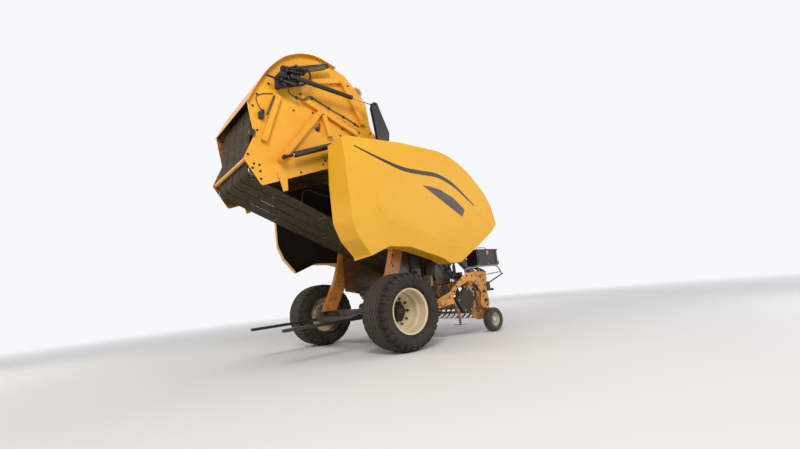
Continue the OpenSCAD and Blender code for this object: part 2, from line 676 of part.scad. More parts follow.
// What lies ahead of the fold at a shield's back, less a depth
module ahead_of_fold(deep) {
    shrink = cos(fold_turn);
    line = rounded([for (row = concat([[2600, 1120, 0]], [[2600, 2990, 0]], reversed(crease_line)))
        [row[0] * shrink, row[1], row[2]]]);
    translate([0, shield_out - crease_in, 0]) rotate([0, 0, -fold_turn]) plate(inset(line, deep), -1500, 900);
}
module shield_block(deep) {
    intersection() {
        plate(inset(rounded(shield_line), deep), shield_in - (deep > 0 ? 1 : 0), shield_out + 5);
        bulge(deep);
        ahead_of_fold(deep);
    }
}
module shield(side) {
    on_side(side) {
        difference() {
            shield_block(0);
            shield_block(shield_t);
            plate(rounded(vent_line), shield_in, shield_out + 5);
        }
        for (x = shield_hinges_at) shield_arm(x);
    }
}
module shield_arm(x) {
    y = shield_pivot[0];
    z = shield_pivot[1];
    top = [[y - 8, z + 20], [y + 30, z + 12]];
    foot = [[shield_in + 60, 2890], [shield_in + 60, 2870], [shield_in, 2870]];
    translate([x, 0, 0]) rotate([90, 0, 90]) linear_extrude(12) difference() {
        union() {
            translate(shield_pivot) circle(r = 22);
            polygon(concat(top, foot, [[y + 10, z - 20]]));
        }
        translate(shield_pivot) circle(r = 10 + pin_gap);
    }
}
module shield_right() { color(yellow) at_axle() shield(-1); }
module shield_left() { color(yellow) at_axle() shield(1); }
slat_pitch = 40;
slat_w = 24;
module vent(side) {
    line = inset(rounded(vent_line), seat_gap);
    on_side(side) difference() {
        intersection() { plate(line, shield_in, shield_out + 5); bulge(1); }
        bulge(shield_t);
        difference() {
            for (x = [vent_line[4][0]:slat_pitch:vent_line[1][0]])
                translate([x, shield_in, vent_line[0][1] - 50])
                    cube([slat_pitch - slat_w, shield_deep + 5, 600]);
            bulge(shield_t - 2);
        }
    }
}
module vent_right() { color(dark) at_axle() vent(-1); }
module vent_left() { color(dark) at_axle() vent(1); }

// Half of a road tyre's section: radius, distance from its middle plane
tyre_half = [[tyre_r - tyre_crown_t, 0], [tyre_r - tyre_crown_t - 12, tyre_w / 2 - 70],
    [tyre_r - 95, tyre_w / 2 - tyre_side_t], [rim_r + 60, tyre_w / 2 - 12 - tyre_side_t],
    [rim_r - 18, rim_w / 2 - 40], [rim_r - 18, rim_w / 2 - 15], [rim_r + 4, rim_w / 2 - rim_t - 1],
    [rim_r + 14, rim_w / 2 - 2], [rim_r + 60, tyre_w / 2 - 12], [tyre_r - 90, tyre_w / 2],
    [tyre_r - 34, tyre_w / 2 - 22], [tyre_r - 8, tyre_w / 2 - 60], [tyre_r, 90], [tyre_r, 0]];
module tyre(side) {
    both = concat(tyre_half, [for (i = [len(tyre_half) - 1:-1:0]) [tyre_half[i][0], -tyre_half[i][1]]]);
    on_side(side) translate([0, wheel_y, tyre_r]) rotate([-90, 0, 0]) difference() {
        rotate_extrude($fn = 120) polygon([for (p = both) [p[0], p[1]]]);
        for (s = [-1, 1], i = [0:lug_count - 1]) rotate([0, 0, 360 / lug_count * (i + s / 4)])
            translate([tyre_r - 40, -18, s > 0 ? tyre_w / 2 - 92 : -tyre_w / 2 - 10]) cube([60, 36, 102]);
    }
}
module tyre_right() { color(rubber) at_axle() tyre(-1); }
module tyre_left() { color(rubber) at_axle() tyre(1); }

// Rim and disc section: radius, distance outwards from the wheel's middle plane
module rim_section() {
    w = rim_w / 2;
    polygon([[rim_r, w], [rim_r, w - rim_t], [rim_r - 18 - seat_gap, w - 14], [rim_r - 18 - seat_gap, 60],
        [rim_r - 40, 30], [rim_r - 40, -60], [rim_r - 18 - seat_gap, -90], [rim_r - 18 - seat_gap, 14 - w],
        [rim_r, rim_t - w], [rim_r, -w], [rim_r - 12, -w], [rim_r - 26, 10 - w], [rim_r - 26, -95],
        [rim_r - 48, -66], [150, -110], [105, -128], [stub_r + pin_gap, -128], [stub_r + pin_gap, -116],
        [105, -116], [150, -98], [rim_r - 48, -50], [rim_r - 48, 34], [rim_r - 26, 66], [rim_r - 26, w - 10],
        [rim_r - 12, w]]);
}
module rim(side) {
    on_side(side) translate([0, wheel_y, tyre_r]) rotate([-90, 0, 0]) {
        rotate_extrude($fn = 96) rim_section();
        difference() {
            translate([0, 0, hub_y - wheel_y - 70]) cylinder(h = 115, r = 85);
            translate([0, 0, hub_y - wheel_y - 71]) cylinder(h = 102, r = stub_r + pin_gap);
        }
    }
}
module rim_right() { color(cream) at_axle() rim(-1); }
module rim_left() { color(cream) at_axle() rim(1); }

// Yellow side arms of the pickup: x, z, corner radius
pickup_arm_line = [[745, 470, 10], [1010, 490, 10], [1060, 575, 20], [1190, 730, 60], [1500, 840, 120],
    [1660, 750, 40], [1750, 620, 40], [1700, 440, 30], [1745, 380, 30], [1890, 380, 30], [1915, 440, 30],
    [1880, 740, 60], [1930, 850, 30], [1860, 955, 40], [1720, 975, 60], [1400, 940, 200],
    [1010, 680, 60], [760, 600, 20]];
pickup_arm_y = reel_half + 51;
arm_plate_t = 14;
gauge_y = pickup_arm_y + arm_plate_t + gauge_gap + gauge_w / 2;
wind_pivot = [1560, 905];
module pickup_frame() {
    color(yellow) at_axle() {
        for (side = [-1, 1]) on_side(side) {
            slab(pickup_arm_y, pickup_arm_y + arm_plate_t) difference() {
                union() {
                    polygon(rounded(pickup_arm_line));
                    polygon([[1825, gauge_r], [1875, gauge_r], [1890, 420], [1800, 420]]);
                    translate([1850, gauge_r]) circle(r = 25);
                }
                translate(wind_pivot) circle(r = wind_rod_r + pin_gap);
            }
            slab(wall_out + 20, wall_out + 32) difference() {
                union() {
                    stroke([rotor_x, rotor_z], [1530, 800], 110);
                    translate([rotor_x, rotor_z]) circle(r = 100);
                }
                translate([rotor_x, rotor_z]) circle(r = rotor_boss_r + pin_gap);
            }
            slab(reel_half + 4, reel_half + 10) {
                translate([reel_x, reel_z]) circle(r = 230);
                translate([1480, 600]) square([140, 190]);
            }
            rod(1850, gauge_r, pickup_arm_y + 4, gauge_y + 20, 14);
        }
        rod(1530, 800, -pickup_arm_y - 1, pickup_arm_y + 1, 40);
        rod(800, 522, -pickup_arm_y - 1, pickup_arm_y + 1, 38);
        rod(reel_x, reel_z, -reel_half - 5, -reel_half + 30, 20);
        rod(reel_x, reel_z, reel_half - 30, reel_half + 5, 20);
    }
}
tine_n = floor((2 * reel_half - 60) / tine_pitch);
module pickup_reel() {
    color(steel) at_axle() translate([reel_x, 0, reel_z]) difference() {
        union() {
            rod(0, 0, -reel_half + 3, reel_half - 3, 60);
            for (y = [-reel_half, -6, reel_half - 12]) rod(0, 0, y, y + 12, 150);
            for (i = [0:bar_count - 1]) rotate([0, 360 / bar_count * i, 0]) {
                rod(0, 134, -reel_half + 3, reel_half - 3, 14);
                for (k = [0:tine_n - 1], s = [-1, 1])
                    translate([0, (k - (tine_n - 1) / 2) * tine_pitch + 28 * s, 130])
                        cylinder(h = tine_r - 130, r = 4, $fn = 4);
            }
        }
        for (side = [-1, 1]) on_side(side) rod(0, 0, reel_half - 40, reel_half + 1, 20 + pin_gap);
    }
}
band_r = 205;
module stripper_bands() {
    color(yellow) at_axle() for (k = [0:tine_n]) {
        y = (k - tine_n / 2) * tine_pitch;
        translate([reel_x, y + 24, reel_z]) rotate([90, 0, 0]) linear_extrude(48) difference() {
            circle(r = band_r + 3);
            circle(r = band_r);
            translate([-400, -400]) square([320, 800]);
        }
        plate([[1570.3, 800], [1574, 800], [1624, reel_z + 192], [1619, reel_z + 188]], y - 24, y + 24);
    }
}
guard_line = [[1075, 575, 20], [1230, 350, 30], [1400, 350, 30], [1510, 600, 40], [1350, 745, 40]];
module chain_guard() {
    inner = pickup_arm_y + arm_plate_t;
    color(dark) at_axle() on_side(-1) plate(rounded(guard_line), inner, inner + 60);
}
module wind_guard() {
    color(dark) at_axle() {
        for (side = [-1, 1]) on_side(side) {
            bar([wind_pivot[0], reel_half - 25, wind_pivot[1]], [2050, reel_half - 25, 760], 14);
            bar([2050, reel_half - 25, 760], [2480, reel_half - 25, 900], 12);
        }
        rod(2050, 760, 13 - reel_half, reel_half - 13, 30);
        rod(wind_pivot[0], wind_pivot[1], -pickup_arm_y - 9, pickup_arm_y + 9, wind_rod_r);
    }
}
module gauge_wheel(side) {
    on_side(side) translate([1850, gauge_y, gauge_r]) rotate([-90, 0, 0]) difference() {
        rotate_extrude($fn = 64) polygon([[30, -40], [100, -40], [110, -gauge_w / 2],
            [gauge_r - 20, -gauge_w / 2], [gauge_r, -gauge_w / 2 + 25],
            [gauge_r, gauge_w / 2 - 25], [gauge_r - 20, gauge_w / 2], [110, gauge_w / 2], [100, 0],
            [30, 0]]);
        for (i = [0:4]) rotate([0, 0, 72 * i]) translate([65, 0, -80]) cylinder(h = 160, r = 18);
    }
    on_side(side) difference() {
        rod(1850, gauge_r, gauge_y - 50, gauge_y + 30, 32);
        rod(1850, gauge_r, gauge_y - 51, gauge_y + 22, 14 + pin_gap);
    }
}
module gauge_wheel_right() { color(rubber) at_axle() gauge_wheel(-1); }
module gauge_wheel_left() { color(rubber) at_axle() gauge_wheel(1); }

module feed_rotor() {
    color(dark) at_axle() {
        rod(rotor_x, rotor_z, -chamber_half + 10, chamber_half - 10, 90);
        rod(rotor_x, rotor_z, -drive_y - sprocket_t - 8, wall_out + 84, rotor_shaft_r);
        for (k = [-5:5]) translate([rotor_x, k * 110, rotor_z]) rotate([0, 20 * k, 0])
            for (i = [0:2]) rotate([0, 120 * i, 0])
                plate([[-60, 80], [60, 80], [10, rotor_r], [-25, rotor_r]], -6, 6);
    }
}

module bale_ramp() {
    color(dark) at_axle() {
        for (side = [-1, 1]) on_side(side) {
            rod(ramp_pivot_x, ramp_pivot_z, ramp_half - 95, ramp_half - 15, 14);
            slab(ramp_half - 65, ramp_half - 45) {
                translate([ramp_pivot_x, ramp_pivot_z]) circle(r = 24);
                stroke([ramp_pivot_x, ramp_pivot_z], [ramp_pivot_x - 200, ramp_bar_z + 30], 40);
            }
            beam([-250, ramp_half, ramp_bar_z + 10],
                [ramp_pivot_x - ramp_long, ramp_half, ramp_bar_z - 10], 60, 40);
        }
        translate([-420, -ramp_half - 20, ramp_bar_z - 6]) cube([120, 2 * ramp_half + 40, 52]);
    }
}

wall_right();
wall_left();
axle();
drawbar();
jack_sleeve();
jack_leg();
gearbox();
pto_shaft();
front_hood();
feeder_floor();
front_rollers();
front_belts();
belt_span();
density_arms();
side_drive();
valve_box();
gate_wall_right();
gate_wall_left();
gate_tubes();
gate_cover();
gate_rollers();
gate_belts();
gate_valves();
lift_barrel_right();
lift_barrel_left();
lift_rod_right();
lift_rod_left();
density_barrel_right();
density_barrel_left();
density_rod_right();
density_rod_left();
shield_right();
shield_left();
vent_right();
vent_left();
tyre_right();
tyre_left();
rim_right();
rim_left();
pickup_frame();
pickup_reel();
stripper_bands();
chain_guard();
wind_guard();
gauge_wheel_right();
gauge_wheel_left();
feed_rotor();
bale_ramp();
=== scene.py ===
import math

import bmesh
import bpy
from mathutils import Matrix, Vector


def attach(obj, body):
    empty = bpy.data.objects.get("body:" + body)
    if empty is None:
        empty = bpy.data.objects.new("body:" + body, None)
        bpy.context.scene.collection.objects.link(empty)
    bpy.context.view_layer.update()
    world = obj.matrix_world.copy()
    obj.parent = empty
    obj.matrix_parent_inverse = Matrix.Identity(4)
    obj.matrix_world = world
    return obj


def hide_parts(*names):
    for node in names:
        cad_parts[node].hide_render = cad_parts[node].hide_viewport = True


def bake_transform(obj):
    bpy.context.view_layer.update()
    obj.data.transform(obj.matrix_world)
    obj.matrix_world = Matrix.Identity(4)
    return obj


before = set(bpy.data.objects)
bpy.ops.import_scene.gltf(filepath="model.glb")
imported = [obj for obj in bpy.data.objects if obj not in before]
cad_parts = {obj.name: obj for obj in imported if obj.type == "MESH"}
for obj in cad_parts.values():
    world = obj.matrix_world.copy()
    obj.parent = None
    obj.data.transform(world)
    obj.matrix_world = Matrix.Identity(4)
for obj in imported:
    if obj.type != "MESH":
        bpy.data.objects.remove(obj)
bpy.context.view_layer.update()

# All sizes are in metres. Places "from the axle" are given ahead of the road axle, and a distance from the
# centre line is the size of Y, which is below 0 on the right side of the machine.
AXLE_X = -0.760
SIDES = (("right", -1), ("left", 1))
RIGHT_ONLY = SIDES[:1]
TYRE_RADIUS = 0.510
WHEEL_Y = 1.115
WALL_FACE = 0.6795  # outer face of the side sheets of the frame and the tailgate
WALL_SKIN = 0.6765  # just under that face, where a finish changes from the inner side to the outer
RIB_FACE = 0.738  # outer face of the tailgate's ribs
ARM_FACE = 1.0495  # outer face of the pickup's arms
CAMERA_PLACE = (-3.4536, -5.4331, 0.7998)  # from the axle
CAMERA_TURN = (-39.7045, -9.0197, -5.7900)  # azimuth, elevation and roll in degrees
CAMERA_LENS, CAMERA_SENSOR = 18.322, 36.0  # in millimetres
FLOOR_REACH, FLOOR_Z = 60.0, -0.002
FADE_FROM, FADE_TO = 5.0, 16.0  # where the floor turns into the backdrop
BACKDROP = (0.93, 0.94, 0.95, 1)
SKY = (0.86, 0.90, 1.0, 1)
SKY_STRENGTH = 0.42
SHINE_SHARE = 0.75  # how much of the white backdrop reflections show


def from_axle(x, y, z):
    return Vector((x + AXLE_X, y, z))


def in_scene(name, data):
    """A new object for a mesh, a lamp or the camera, linked to the scene."""
    made = bpy.data.objects.new(name, data)
    bpy.context.scene.collection.objects.link(made)
    return made


# Short calls for node trees

class Tree:
    """Short calls that add and join the nodes of a material, the world or a group."""

    def __init__(self, tree):
        self.tree = tree

    def node(self, kind, **settings):
        made = self.tree.nodes.new(kind)
        for key, value in settings.items():
            setattr(made, key, value)
        return made

    def feed(self, socket, value):
        if isinstance(value, bpy.types.NodeSocket):
            self.tree.links.new(value, socket)
        else:
            socket.default_value = value

    def maths(self, operation, a, b=0.5, c=0.5, clamp=False):
        made = self.node("ShaderNodeMath", operation=operation, use_clamp=clamp)
        for socket, value in zip(made.inputs, (a, b, c)):
            self.feed(socket, value)
        return made.outputs[0]

    def mix(self, factor, a, b):
        made = self.node("ShaderNodeMix", data_type="RGBA")
        for label, value in (("Factor", factor), ("A", a), ("B", b)):
            self.feed(made.inputs[label], value)
        return made.outputs["Result"]

    def mix_surface(self, factor, a, b, out):
        """Two shaders mixed and joined to an output node."""
        made = self.node("ShaderNodeMixShader")
        for socket, value in zip(made.inputs, (factor, a, b)):
            self.feed(socket, value)
        self.feed(out.inputs["Surface"], made.outputs[0])

    def noise(self, place, scale, detail=3.0, rough=0.5):
        made = self.node("ShaderNodeTexNoise")
        for label, value in (("Vector", place), ("Scale", scale), ("Detail", detail), ("Roughness", rough)):
            self.feed(made.inputs[label], value)
        return made.outputs["Fac"]

    def span(self, value, low, high, to_low=0.0, to_high=1.0):
        made = self.node("ShaderNodeMapRange")
        for label, v in (("Value", value), ("From Min", low), ("From Max", high), ("To Min", to_low),
                         ("To Max", to_high)):
            self.feed(made.inputs[label], v)
        return made.outputs["Result"]

    def clouds(self, place, scale, detail, rough, low, high, to_low=0.0, to_high=1.0):
        """Noise with its values between low and high drawn out to the whole span."""
        return self.span(self.noise(place, scale, detail, rough), low, high, to_low, to_high)

    def stretched(self, place, scale):
        made = self.node("ShaderNodeMapping")
        self.feed(made.inputs["Vector"], place)
        made.inputs["Scale"].default_value = scale
        return made.outputs["Vector"]

    def parts(self, vector):
        """The X, Y and Z of a vector."""
        made = self.node("ShaderNodeSeparateXYZ")
        self.feed(made.inputs[0], vector)
        return made.outputs


class Finish(Tree):
    """A material under construction, with its Principled surface."""

    def __init__(self, name):
        self.material = bpy.data.materials.new(name)
        self.material.use_nodes = True
        super().__init__(self.material.node_tree)
        self.surface = self.tree.nodes["Principled BSDF"]
        self.place = self.node("ShaderNodeTexCoord").outputs["Object"]

    def group(self, group, **values):
        made = self.node("ShaderNodeGroup", node_tree=group)
        for key, value in values.items():
            self.feed(made.inputs[key], value)
        return made.outputs

    def set(self, **values):
        for key, value in values.items():
            self.feed(self.surface.inputs[key.replace("_", " ")], value)

    def bump(self, height, depth, strength=0.5):
        made = self.node("ShaderNodeBump")
        made.inputs["Distance"].default_value = depth
        made.inputs["Strength"].default_value = strength
        self.feed(made.inputs["Height"], height)
        self.set(Normal=made.outputs["Normal"])


# Camera, floor and light

def make_camera():
    """The camera as fitted to the photograph, with no shift."""
    azimuth, elevation, roll = (math.radians(a) for a in CAMERA_TURN)
    back = Vector((math.sin(azimuth) * math.cos(elevation),
                   -math.cos(azimuth) * math.cos(elevation), math.sin(elevation)))
    level = (-back).cross(Vector((0, 0, 1))).normalized()
    upright = level.cross(-back)
    right = level * math.cos(roll) + upright * math.sin(roll)
    up = upright * math.cos(roll) - level * math.sin(roll)
    data = bpy.data.cameras.new("camera")
    data.sensor_width, data.lens = CAMERA_SENSOR, CAMERA_LENS
    camera = in_scene("camera", data)
    turn = Matrix((right, up, back)).transposed().to_4x4()
    camera.matrix_world = Matrix.Translation(from_axle(*CAMERA_PLACE)) @ turn
    bpy.context.scene.camera = camera


def area_light(name, place, target, size, power, colour):
    data = bpy.data.lights.new(name, "AREA")
    data.shape, data.size, data.energy, data.color = "DISK", size, power, colour
    lamp = in_scene(name, data)
    lamp.location = place
    lamp.rotation_mode = "QUATERNION"
    lamp.rotation_quaternion = (Vector(target) - Vector(place)).to_track_quat("-Z", "Y")


def make_world():
    """A soft sky for the light, and a white backdrop for the camera, glass and, in part, reflections."""
    world = bpy.data.worlds.new("studio")
    bpy.context.scene.world = world
    world.use_nodes = True
    world.node_tree.nodes.clear()
    t = Tree(world.node_tree)
    grounds = []
    for colour, strength in ((SKY, SKY_STRENGTH), (BACKDROP, 1.0)):
        ground = t.node("ShaderNodeBackground")
        t.feed(ground.inputs["Color"], colour)
        t.feed(ground.inputs["Strength"], strength)
        grounds.append(ground.outputs[0])
    rays = t.node("ShaderNodeLightPath").outputs
    seen = t.maths("MAXIMUM", rays["Is Camera Ray"], rays["Is Transmission Ray"])
    shine = t.maths("MULTIPLY_ADD", rays["Is Glossy Ray"], SHINE_SHARE, seen, clamp=True)
    t.mix_surface(shine, *grounds, t.node("ShaderNodeOutputWorld"))


def make_floor():
    """A pale floor that fades into the backdrop for the camera."""
    mesh = bpy.data.meshes.new("floor")
    corners = [(x * FLOOR_REACH, y * FLOOR_REACH, FLOOR_Z) for x, y in ((-1, -1), (1, -1), (1, 1), (-1, 1))]
    mesh.from_pydata(corners, [], [(0, 1, 2, 3)])
    floor = in_scene("floor", mesh)
    f = Finish("pale_floor")
    f.set(Base_Color=(0.80, 0.79, 0.77, 1), Roughness=0.9, Specular_IOR_Level=0.1)
    away = f.node("ShaderNodeVectorMath", operation="LENGTH")
    f.feed(away.inputs[0], f.place)
    seen = f.node("ShaderNodeLightPath").outputs["Is Camera Ray"]
    fade = f.maths("MULTIPLY", f.span(away.outputs["Value"], FADE_FROM, FADE_TO), seen)
    glow = f.node("ShaderNodeEmission")
    f.feed(glow.inputs["Color"], BACKDROP)
    f.mix_surface(fade, f.surface.outputs[0], glow.outputs[0], f.tree.nodes["Material Output"])
    mesh.materials.append(f.material)


bpy.context.scene.view_settings.view_transform = "Standard"
make_camera()
make_world()
make_floor()
area_light("key", (-6.0, -7.5, 7.5), (-0.5, 0, 1.8), 4.0, 640, (1.0, 0.95, 0.87))
area_light("fill", (5.0, -7.0, 3.5), (0.5, 0, 1.5), 5.0, 190, (0.95, 0.97, 1.0))
area_light("back", (-7.0, 5.0, 4.0), (-0.8, 0, 2.0), 4.0, 170, (1.0, 0.93, 0.82))
area_light("front", (7.0, 5.0, 5.0), (0.5, 0, 1.5), 5.0, 190, (1.0, 0.96, 0.9))


# Shader groups that several finishes share

def new_group(name, inputs, outputs):
    group = bpy.data.node_groups.new(name, "ShaderNodeTree")
    kinds = {"c": "NodeSocketColor", "f": "NodeSocketFloat"}
    for label, kind, value in inputs:
        socket = group.interface.new_socket(name=label, in_out="INPUT", socket_type=kinds[kind])
        socket.default_value = value
    for label, kind in outputs:
        group.interface.new_socket(name=label, in_out="OUTPUT", socket_type=kinds[kind])
    return group


def dust_group():
    """Field dust: more of it low down and on faces that look up, broken up by noise."""
    group = new_group("field_dust", [
        ("Colour", "c", (1, 1, 1, 1)), ("Dust", "c", (0.45, 0.33, 0.18, 1)), ("Amount", "f", 0.4),
        ("Height", "f", 1.4), ("Grain", "f", 9.0), ("Roughness", "f", 0.4)],
        [("Colour", "c"), ("Roughness", "f"), ("Mask", "f")])
    t = Tree(group)
    given, out = t.node("NodeGroupInput").outputs, t.node("NodeGroupOutput").inputs
    place = t.node("ShaderNodeTexCoord").outputs["Object"]
    low = t.span(t.parts(place)["Z"], given["Height"], 0.0)
    facing = t.parts(t.node("ShaderNodeNewGeometry").outputs["Normal"])
    top = t.maths("MULTIPLY", t.maths("MAXIMUM", facing["Z"], 0.0), 0.45)
    where = t.maths("ADD", t.maths("MULTIPLY_ADD", low, 0.75, 0.12), top)
    coarse = t.clouds(place, given["Grain"], 5.0, 0.62, 0.34, 0.68)
    fine = t.clouds(place, 140.0, 2.0, 0.5, 0.3, 0.75, 0.55, 1.25)
    mask = t.maths("MULTIPLY", t.maths("MULTIPLY", where, coarse), fine)
    mask = t.maths("MULTIPLY", mask, given["Amount"], clamp=True)
    t.feed(out["Colour"], t.mix(mask, given["Colour"], given["Dust"]))
    t.feed(out["Roughness"], t.maths("MULTIPLY_ADD", mask, 0.5, given["Roughness"], clamp=True))
    t.feed(out["Mask"], mask)
    return group


def wear_group():
    """Chips and rubbed spots that show what lies under the paint."""
    group = new_group("rubbed_paint", [
        ("Colour", "c", (1, 1, 1, 1)), ("Under", "c", (0.12, 0.06, 0.03, 1)), ("Amount", "f", 0.3),
        ("Scale", "f", 14.0)], [("Colour", "c"), ("Mask", "f")])
    t = Tree(group)
    given, out = t.node("NodeGroupInput").outputs, t.node("NodeGroupOutput").inputs
    place = t.node("ShaderNodeTexCoord").outputs["Object"]
    coarse = t.noise(place, given["Scale"], 6.0, 0.7)
    patch = t.noise(t.stretched(place, (1.0, 1.0, 2.5)), 2.2, 2.0)
    edge = t.maths("SUBTRACT", 0.78, t.maths("MULTIPLY", given["Amount"], 0.22))
    both = t.maths("MULTIPLY_ADD", patch, 0.25, t.maths("MULTIPLY", coarse, 0.85))
    mask = t.span(both, edge, t.maths("ADD", edge, 0.03))
    t.feed(out["Colour"], t.mix(mask, given["Colour"], given["Under"]))
    t.feed(out["Mask"], mask)
    return group


DUST = dust_group()
WEAR = wear_group()


# Finishes

def rgb(r, g, b):
    """A colour written as it shows on a screen, 0 to 255."""
    linear = lambda v: v / 12.92 if v <= 0.04045 else ((v + 0.055) / 1.055) ** 2.4
    return tuple(linear(v / 255) for v in (r, g, b)) + (1.0,)


def scaled(colour, factor):
    return tuple(c * factor for c in colour[:3]) + (1,)


def within_reach(f, centre, reach):
    """1 where the surface lies nearer than reach to a line along Y through centre."""
    place = f.parts(f.place)
    ahead, above = f.maths("SUBTRACT", place["X"], centre.x), f.maths("SUBTRACT", place["Z"], centre.z)
    squares = f.maths("ADD", f.maths("MULTIPLY", ahead, ahead), f.maths("MULTIPLY", above, above))
    return f.maths("LESS_THAN", f.maths("SQRT", squares), reach)


def facing_middle(f, middle):
    """1 where a face looks towards a point; the point stands on both sides of the centre line."""
    place, normal = f.parts(f.place), f.parts(f.node("ShaderNodeTexCoord").outputs["Normal"])
    total = f.maths("MULTIPLY", f.maths("MULTIPLY", normal["Y"], f.maths("SIGN", place["Y"])),
                    f.maths("SUBTRACT", f.maths("ABSOLUTE", place["Y"]), middle[1]))
    for axis, at in (("X", middle[0]), ("Z", middle[2])):
        total = f.maths("MULTIPLY_ADD", normal[axis], f.maths("SUBTRACT", place[axis], at), total)
    return f.maths("LESS_THAN", total, 0.0)


def painted(name, colour, shade, dust, height, wear=0.2, rough=0.38, coat=0.25, under=(0.10, 0.05, 0.03, 1),
            peel=0.0006, dark_within=0.0, inside_tones=None, outer_tones=None, shell_middle=None):
    """Sprayed paint: a slow change of shade, orange peel, chips and dust.

    What lies nearer the centre line than dark_within is painted in inside_tones, painted shade with dirt on
    the inner sides of the sheets, and the outer face of that sheet has outer_tones, a darker painted shade.
    With shell_middle, faces that look towards that point, the inside of the shell, are darker."""
    f = Finish(name)
    tone = f.mix(f.clouds(f.place, 1.6, 4.0, 0.6, 0.35, 0.7), colour, shade)
    # painted shade with dirt: inside_tones on the inner sides of the sheets, outer_tones on their outer faces
    if dark_within:
        away = f.maths("ABSOLUTE", f.parts(f.place)["Y"])
        run_down = f.stretched(f.place, (1.0, 1.0, 3.0))
        painted_shade_and_dirt = f.mix(f.clouds(run_down, 5.0, 6.0, 0.7, 0.35, 0.7), *inside_tones)
        if outer_tones:
            outer = f.mix(f.clouds(f.place, 5.0, 6.0, 0.7, 0.35, 0.7), *outer_tones)
            painted_shade_and_dirt = f.mix(f.maths("GREATER_THAN", away, WALL_SKIN), painted_shade_and_dirt, outer)
        tone = f.mix(f.maths("LESS_THAN", away, dark_within), tone, painted_shade_and_dirt)
    # darker where a face looks towards shell_middle, on the inside of the shell
    if shell_middle:
        tone = f.mix(facing_middle(f, shell_middle), tone, rgb(54, 45, 36))
    chipped = f.group(WEAR, Colour=tone, Under=under, Amount=wear)
    dusty = f.group(DUST, Colour=chipped["Colour"], Amount=dust, Height=height, Roughness=rough)
    f.set(Base_Color=dusty["Colour"], Roughness=dusty["Roughness"], Coat_Weight=coat, Coat_Roughness=0.18,
          Specular_IOR_Level=0.35)
    f.bump(f.maths("SUBTRACT", f.noise(f.place, 260.0, 2.0), f.maths("MULTIPLY", chipped["Mask"], 0.6)), peel)
    return f.material


def moulding(name, **more):
    """The smooth yellow of the side shields."""
    return painted(name, rgb(232, 173, 42), rgb(228, 167, 37), 0.10, 1.9, wear=0.0, rough=0.5, coat=0.0,
                   peel=0.0002, **more)


def rubber(name, colour, dust_colour, dust, grain, height=0.9, side_dust=0.0, tread=None):
    """Rubber or plastic with dust. side_dust greys the faces that look along Y.

    tread is the axle, the radius of the groove floors and the distances of the tread's edges from the centre
    line. It darkens the grooves nearly to black as painted shade and greys the worn ribs."""
    f = Finish(name)
    tone = f.mix(f.clouds(f.place, 3.0, 5.0, 0.65, 0.3, 0.7), colour, scaled(colour, 1.7))
    if side_dust:
        facing = f.parts(f.node("ShaderNodeNewGeometry").outputs["Normal"])
        wall = f.span(f.maths("ABSOLUTE", facing["Y"]), 0.55, 0.95)
        cloud = f.clouds(f.place, 7.0, 5.0, 0.7, 0.3, 0.75, 0.35, 1.0)
        tone = f.mix(f.maths("MULTIPLY", f.maths("MULTIPLY", wall, cloud), side_dust), tone, dust_colour)
    if tread:
        axle, floor, inner, outer = tread
        away = f.maths("ABSOLUTE", f.parts(f.place)["Y"])
        band = f.maths("MULTIPLY", f.maths("GREATER_THAN", away, inner), f.maths("LESS_THAN", away, outer))
        groove = f.maths("MULTIPLY", band, within_reach(f, axle, floor))
        tone = f.mix(f.maths("MULTIPLY", f.maths("SUBTRACT", band, groove), 0.32), tone, dust_colour)
    dusty = f.group(DUST, Colour=tone, Dust=dust_colour, Amount=dust, Height=height, Grain=16.0,
                    Roughness=0.72)
    shown = dusty["Colour"]
    # painted shade: the groove floors go nearly black
    if tread:
        shown = f.mix(f.maths("MULTIPLY", groove, 0.85), shown, rgb(12, 11, 10))
    f.set(Base_Color=shown, Roughness=dusty["Roughness"], Specular_IOR_Level=0.2)
    f.bump(f.noise(f.place, grain, 4.0, 0.6), 0.0012, 0.6)
    return f.material


def belting(name):
    """Scuffed rubber with lengthwise wear and chopped crop stuck to it."""
    f = Finish(name)
    streaks = f.clouds(f.stretched(f.place, (1.0, 22.0, 1.0)), 2.6, 6.0, 0.72, 0.36, 0.62)
    tone = f.mix(streaks, rgb(18, 15, 12), rgb(66, 54, 36))
    tone = f.mix(f.maths("MULTIPLY", f.clouds(f.place, 17.0, 5.0, 0.75, 0.44, 0.62), 0.8), tone,
                 rgb(84, 72, 42))
    bits = f.node("ShaderNodeTexVoronoi")
    f.feed(bits.inputs["Vector"], f.stretched(f.place, (1.0, 0.35, 1.0)))
    bits.inputs["Scale"].default_value = 40.0
    stuck = f.maths("MULTIPLY", f.span(bits.outputs["Distance"], 0.30, 0.16),
                    f.clouds(f.place, 3.5, 4.0, 0.7, 0.46, 0.62))
    tone = f.mix(f.maths("MULTIPLY", stuck, 0.75), tone, rgb(124, 114, 66))
    dusty = f.group(DUST, Colour=tone, Dust=rgb(84, 68, 46), Amount=0.35, Height=4.4, Grain=7.0,
                    Roughness=0.8)
    f.set(Base_Color=dusty["Colour"], Roughness=dusty["Roughness"], Specular_IOR_Level=0.25)
    f.bump(f.maths("ADD", f.noise(f.place, 190.0, 3.0, 0.6), stuck), 0.0015, 0.7)
    return f.material


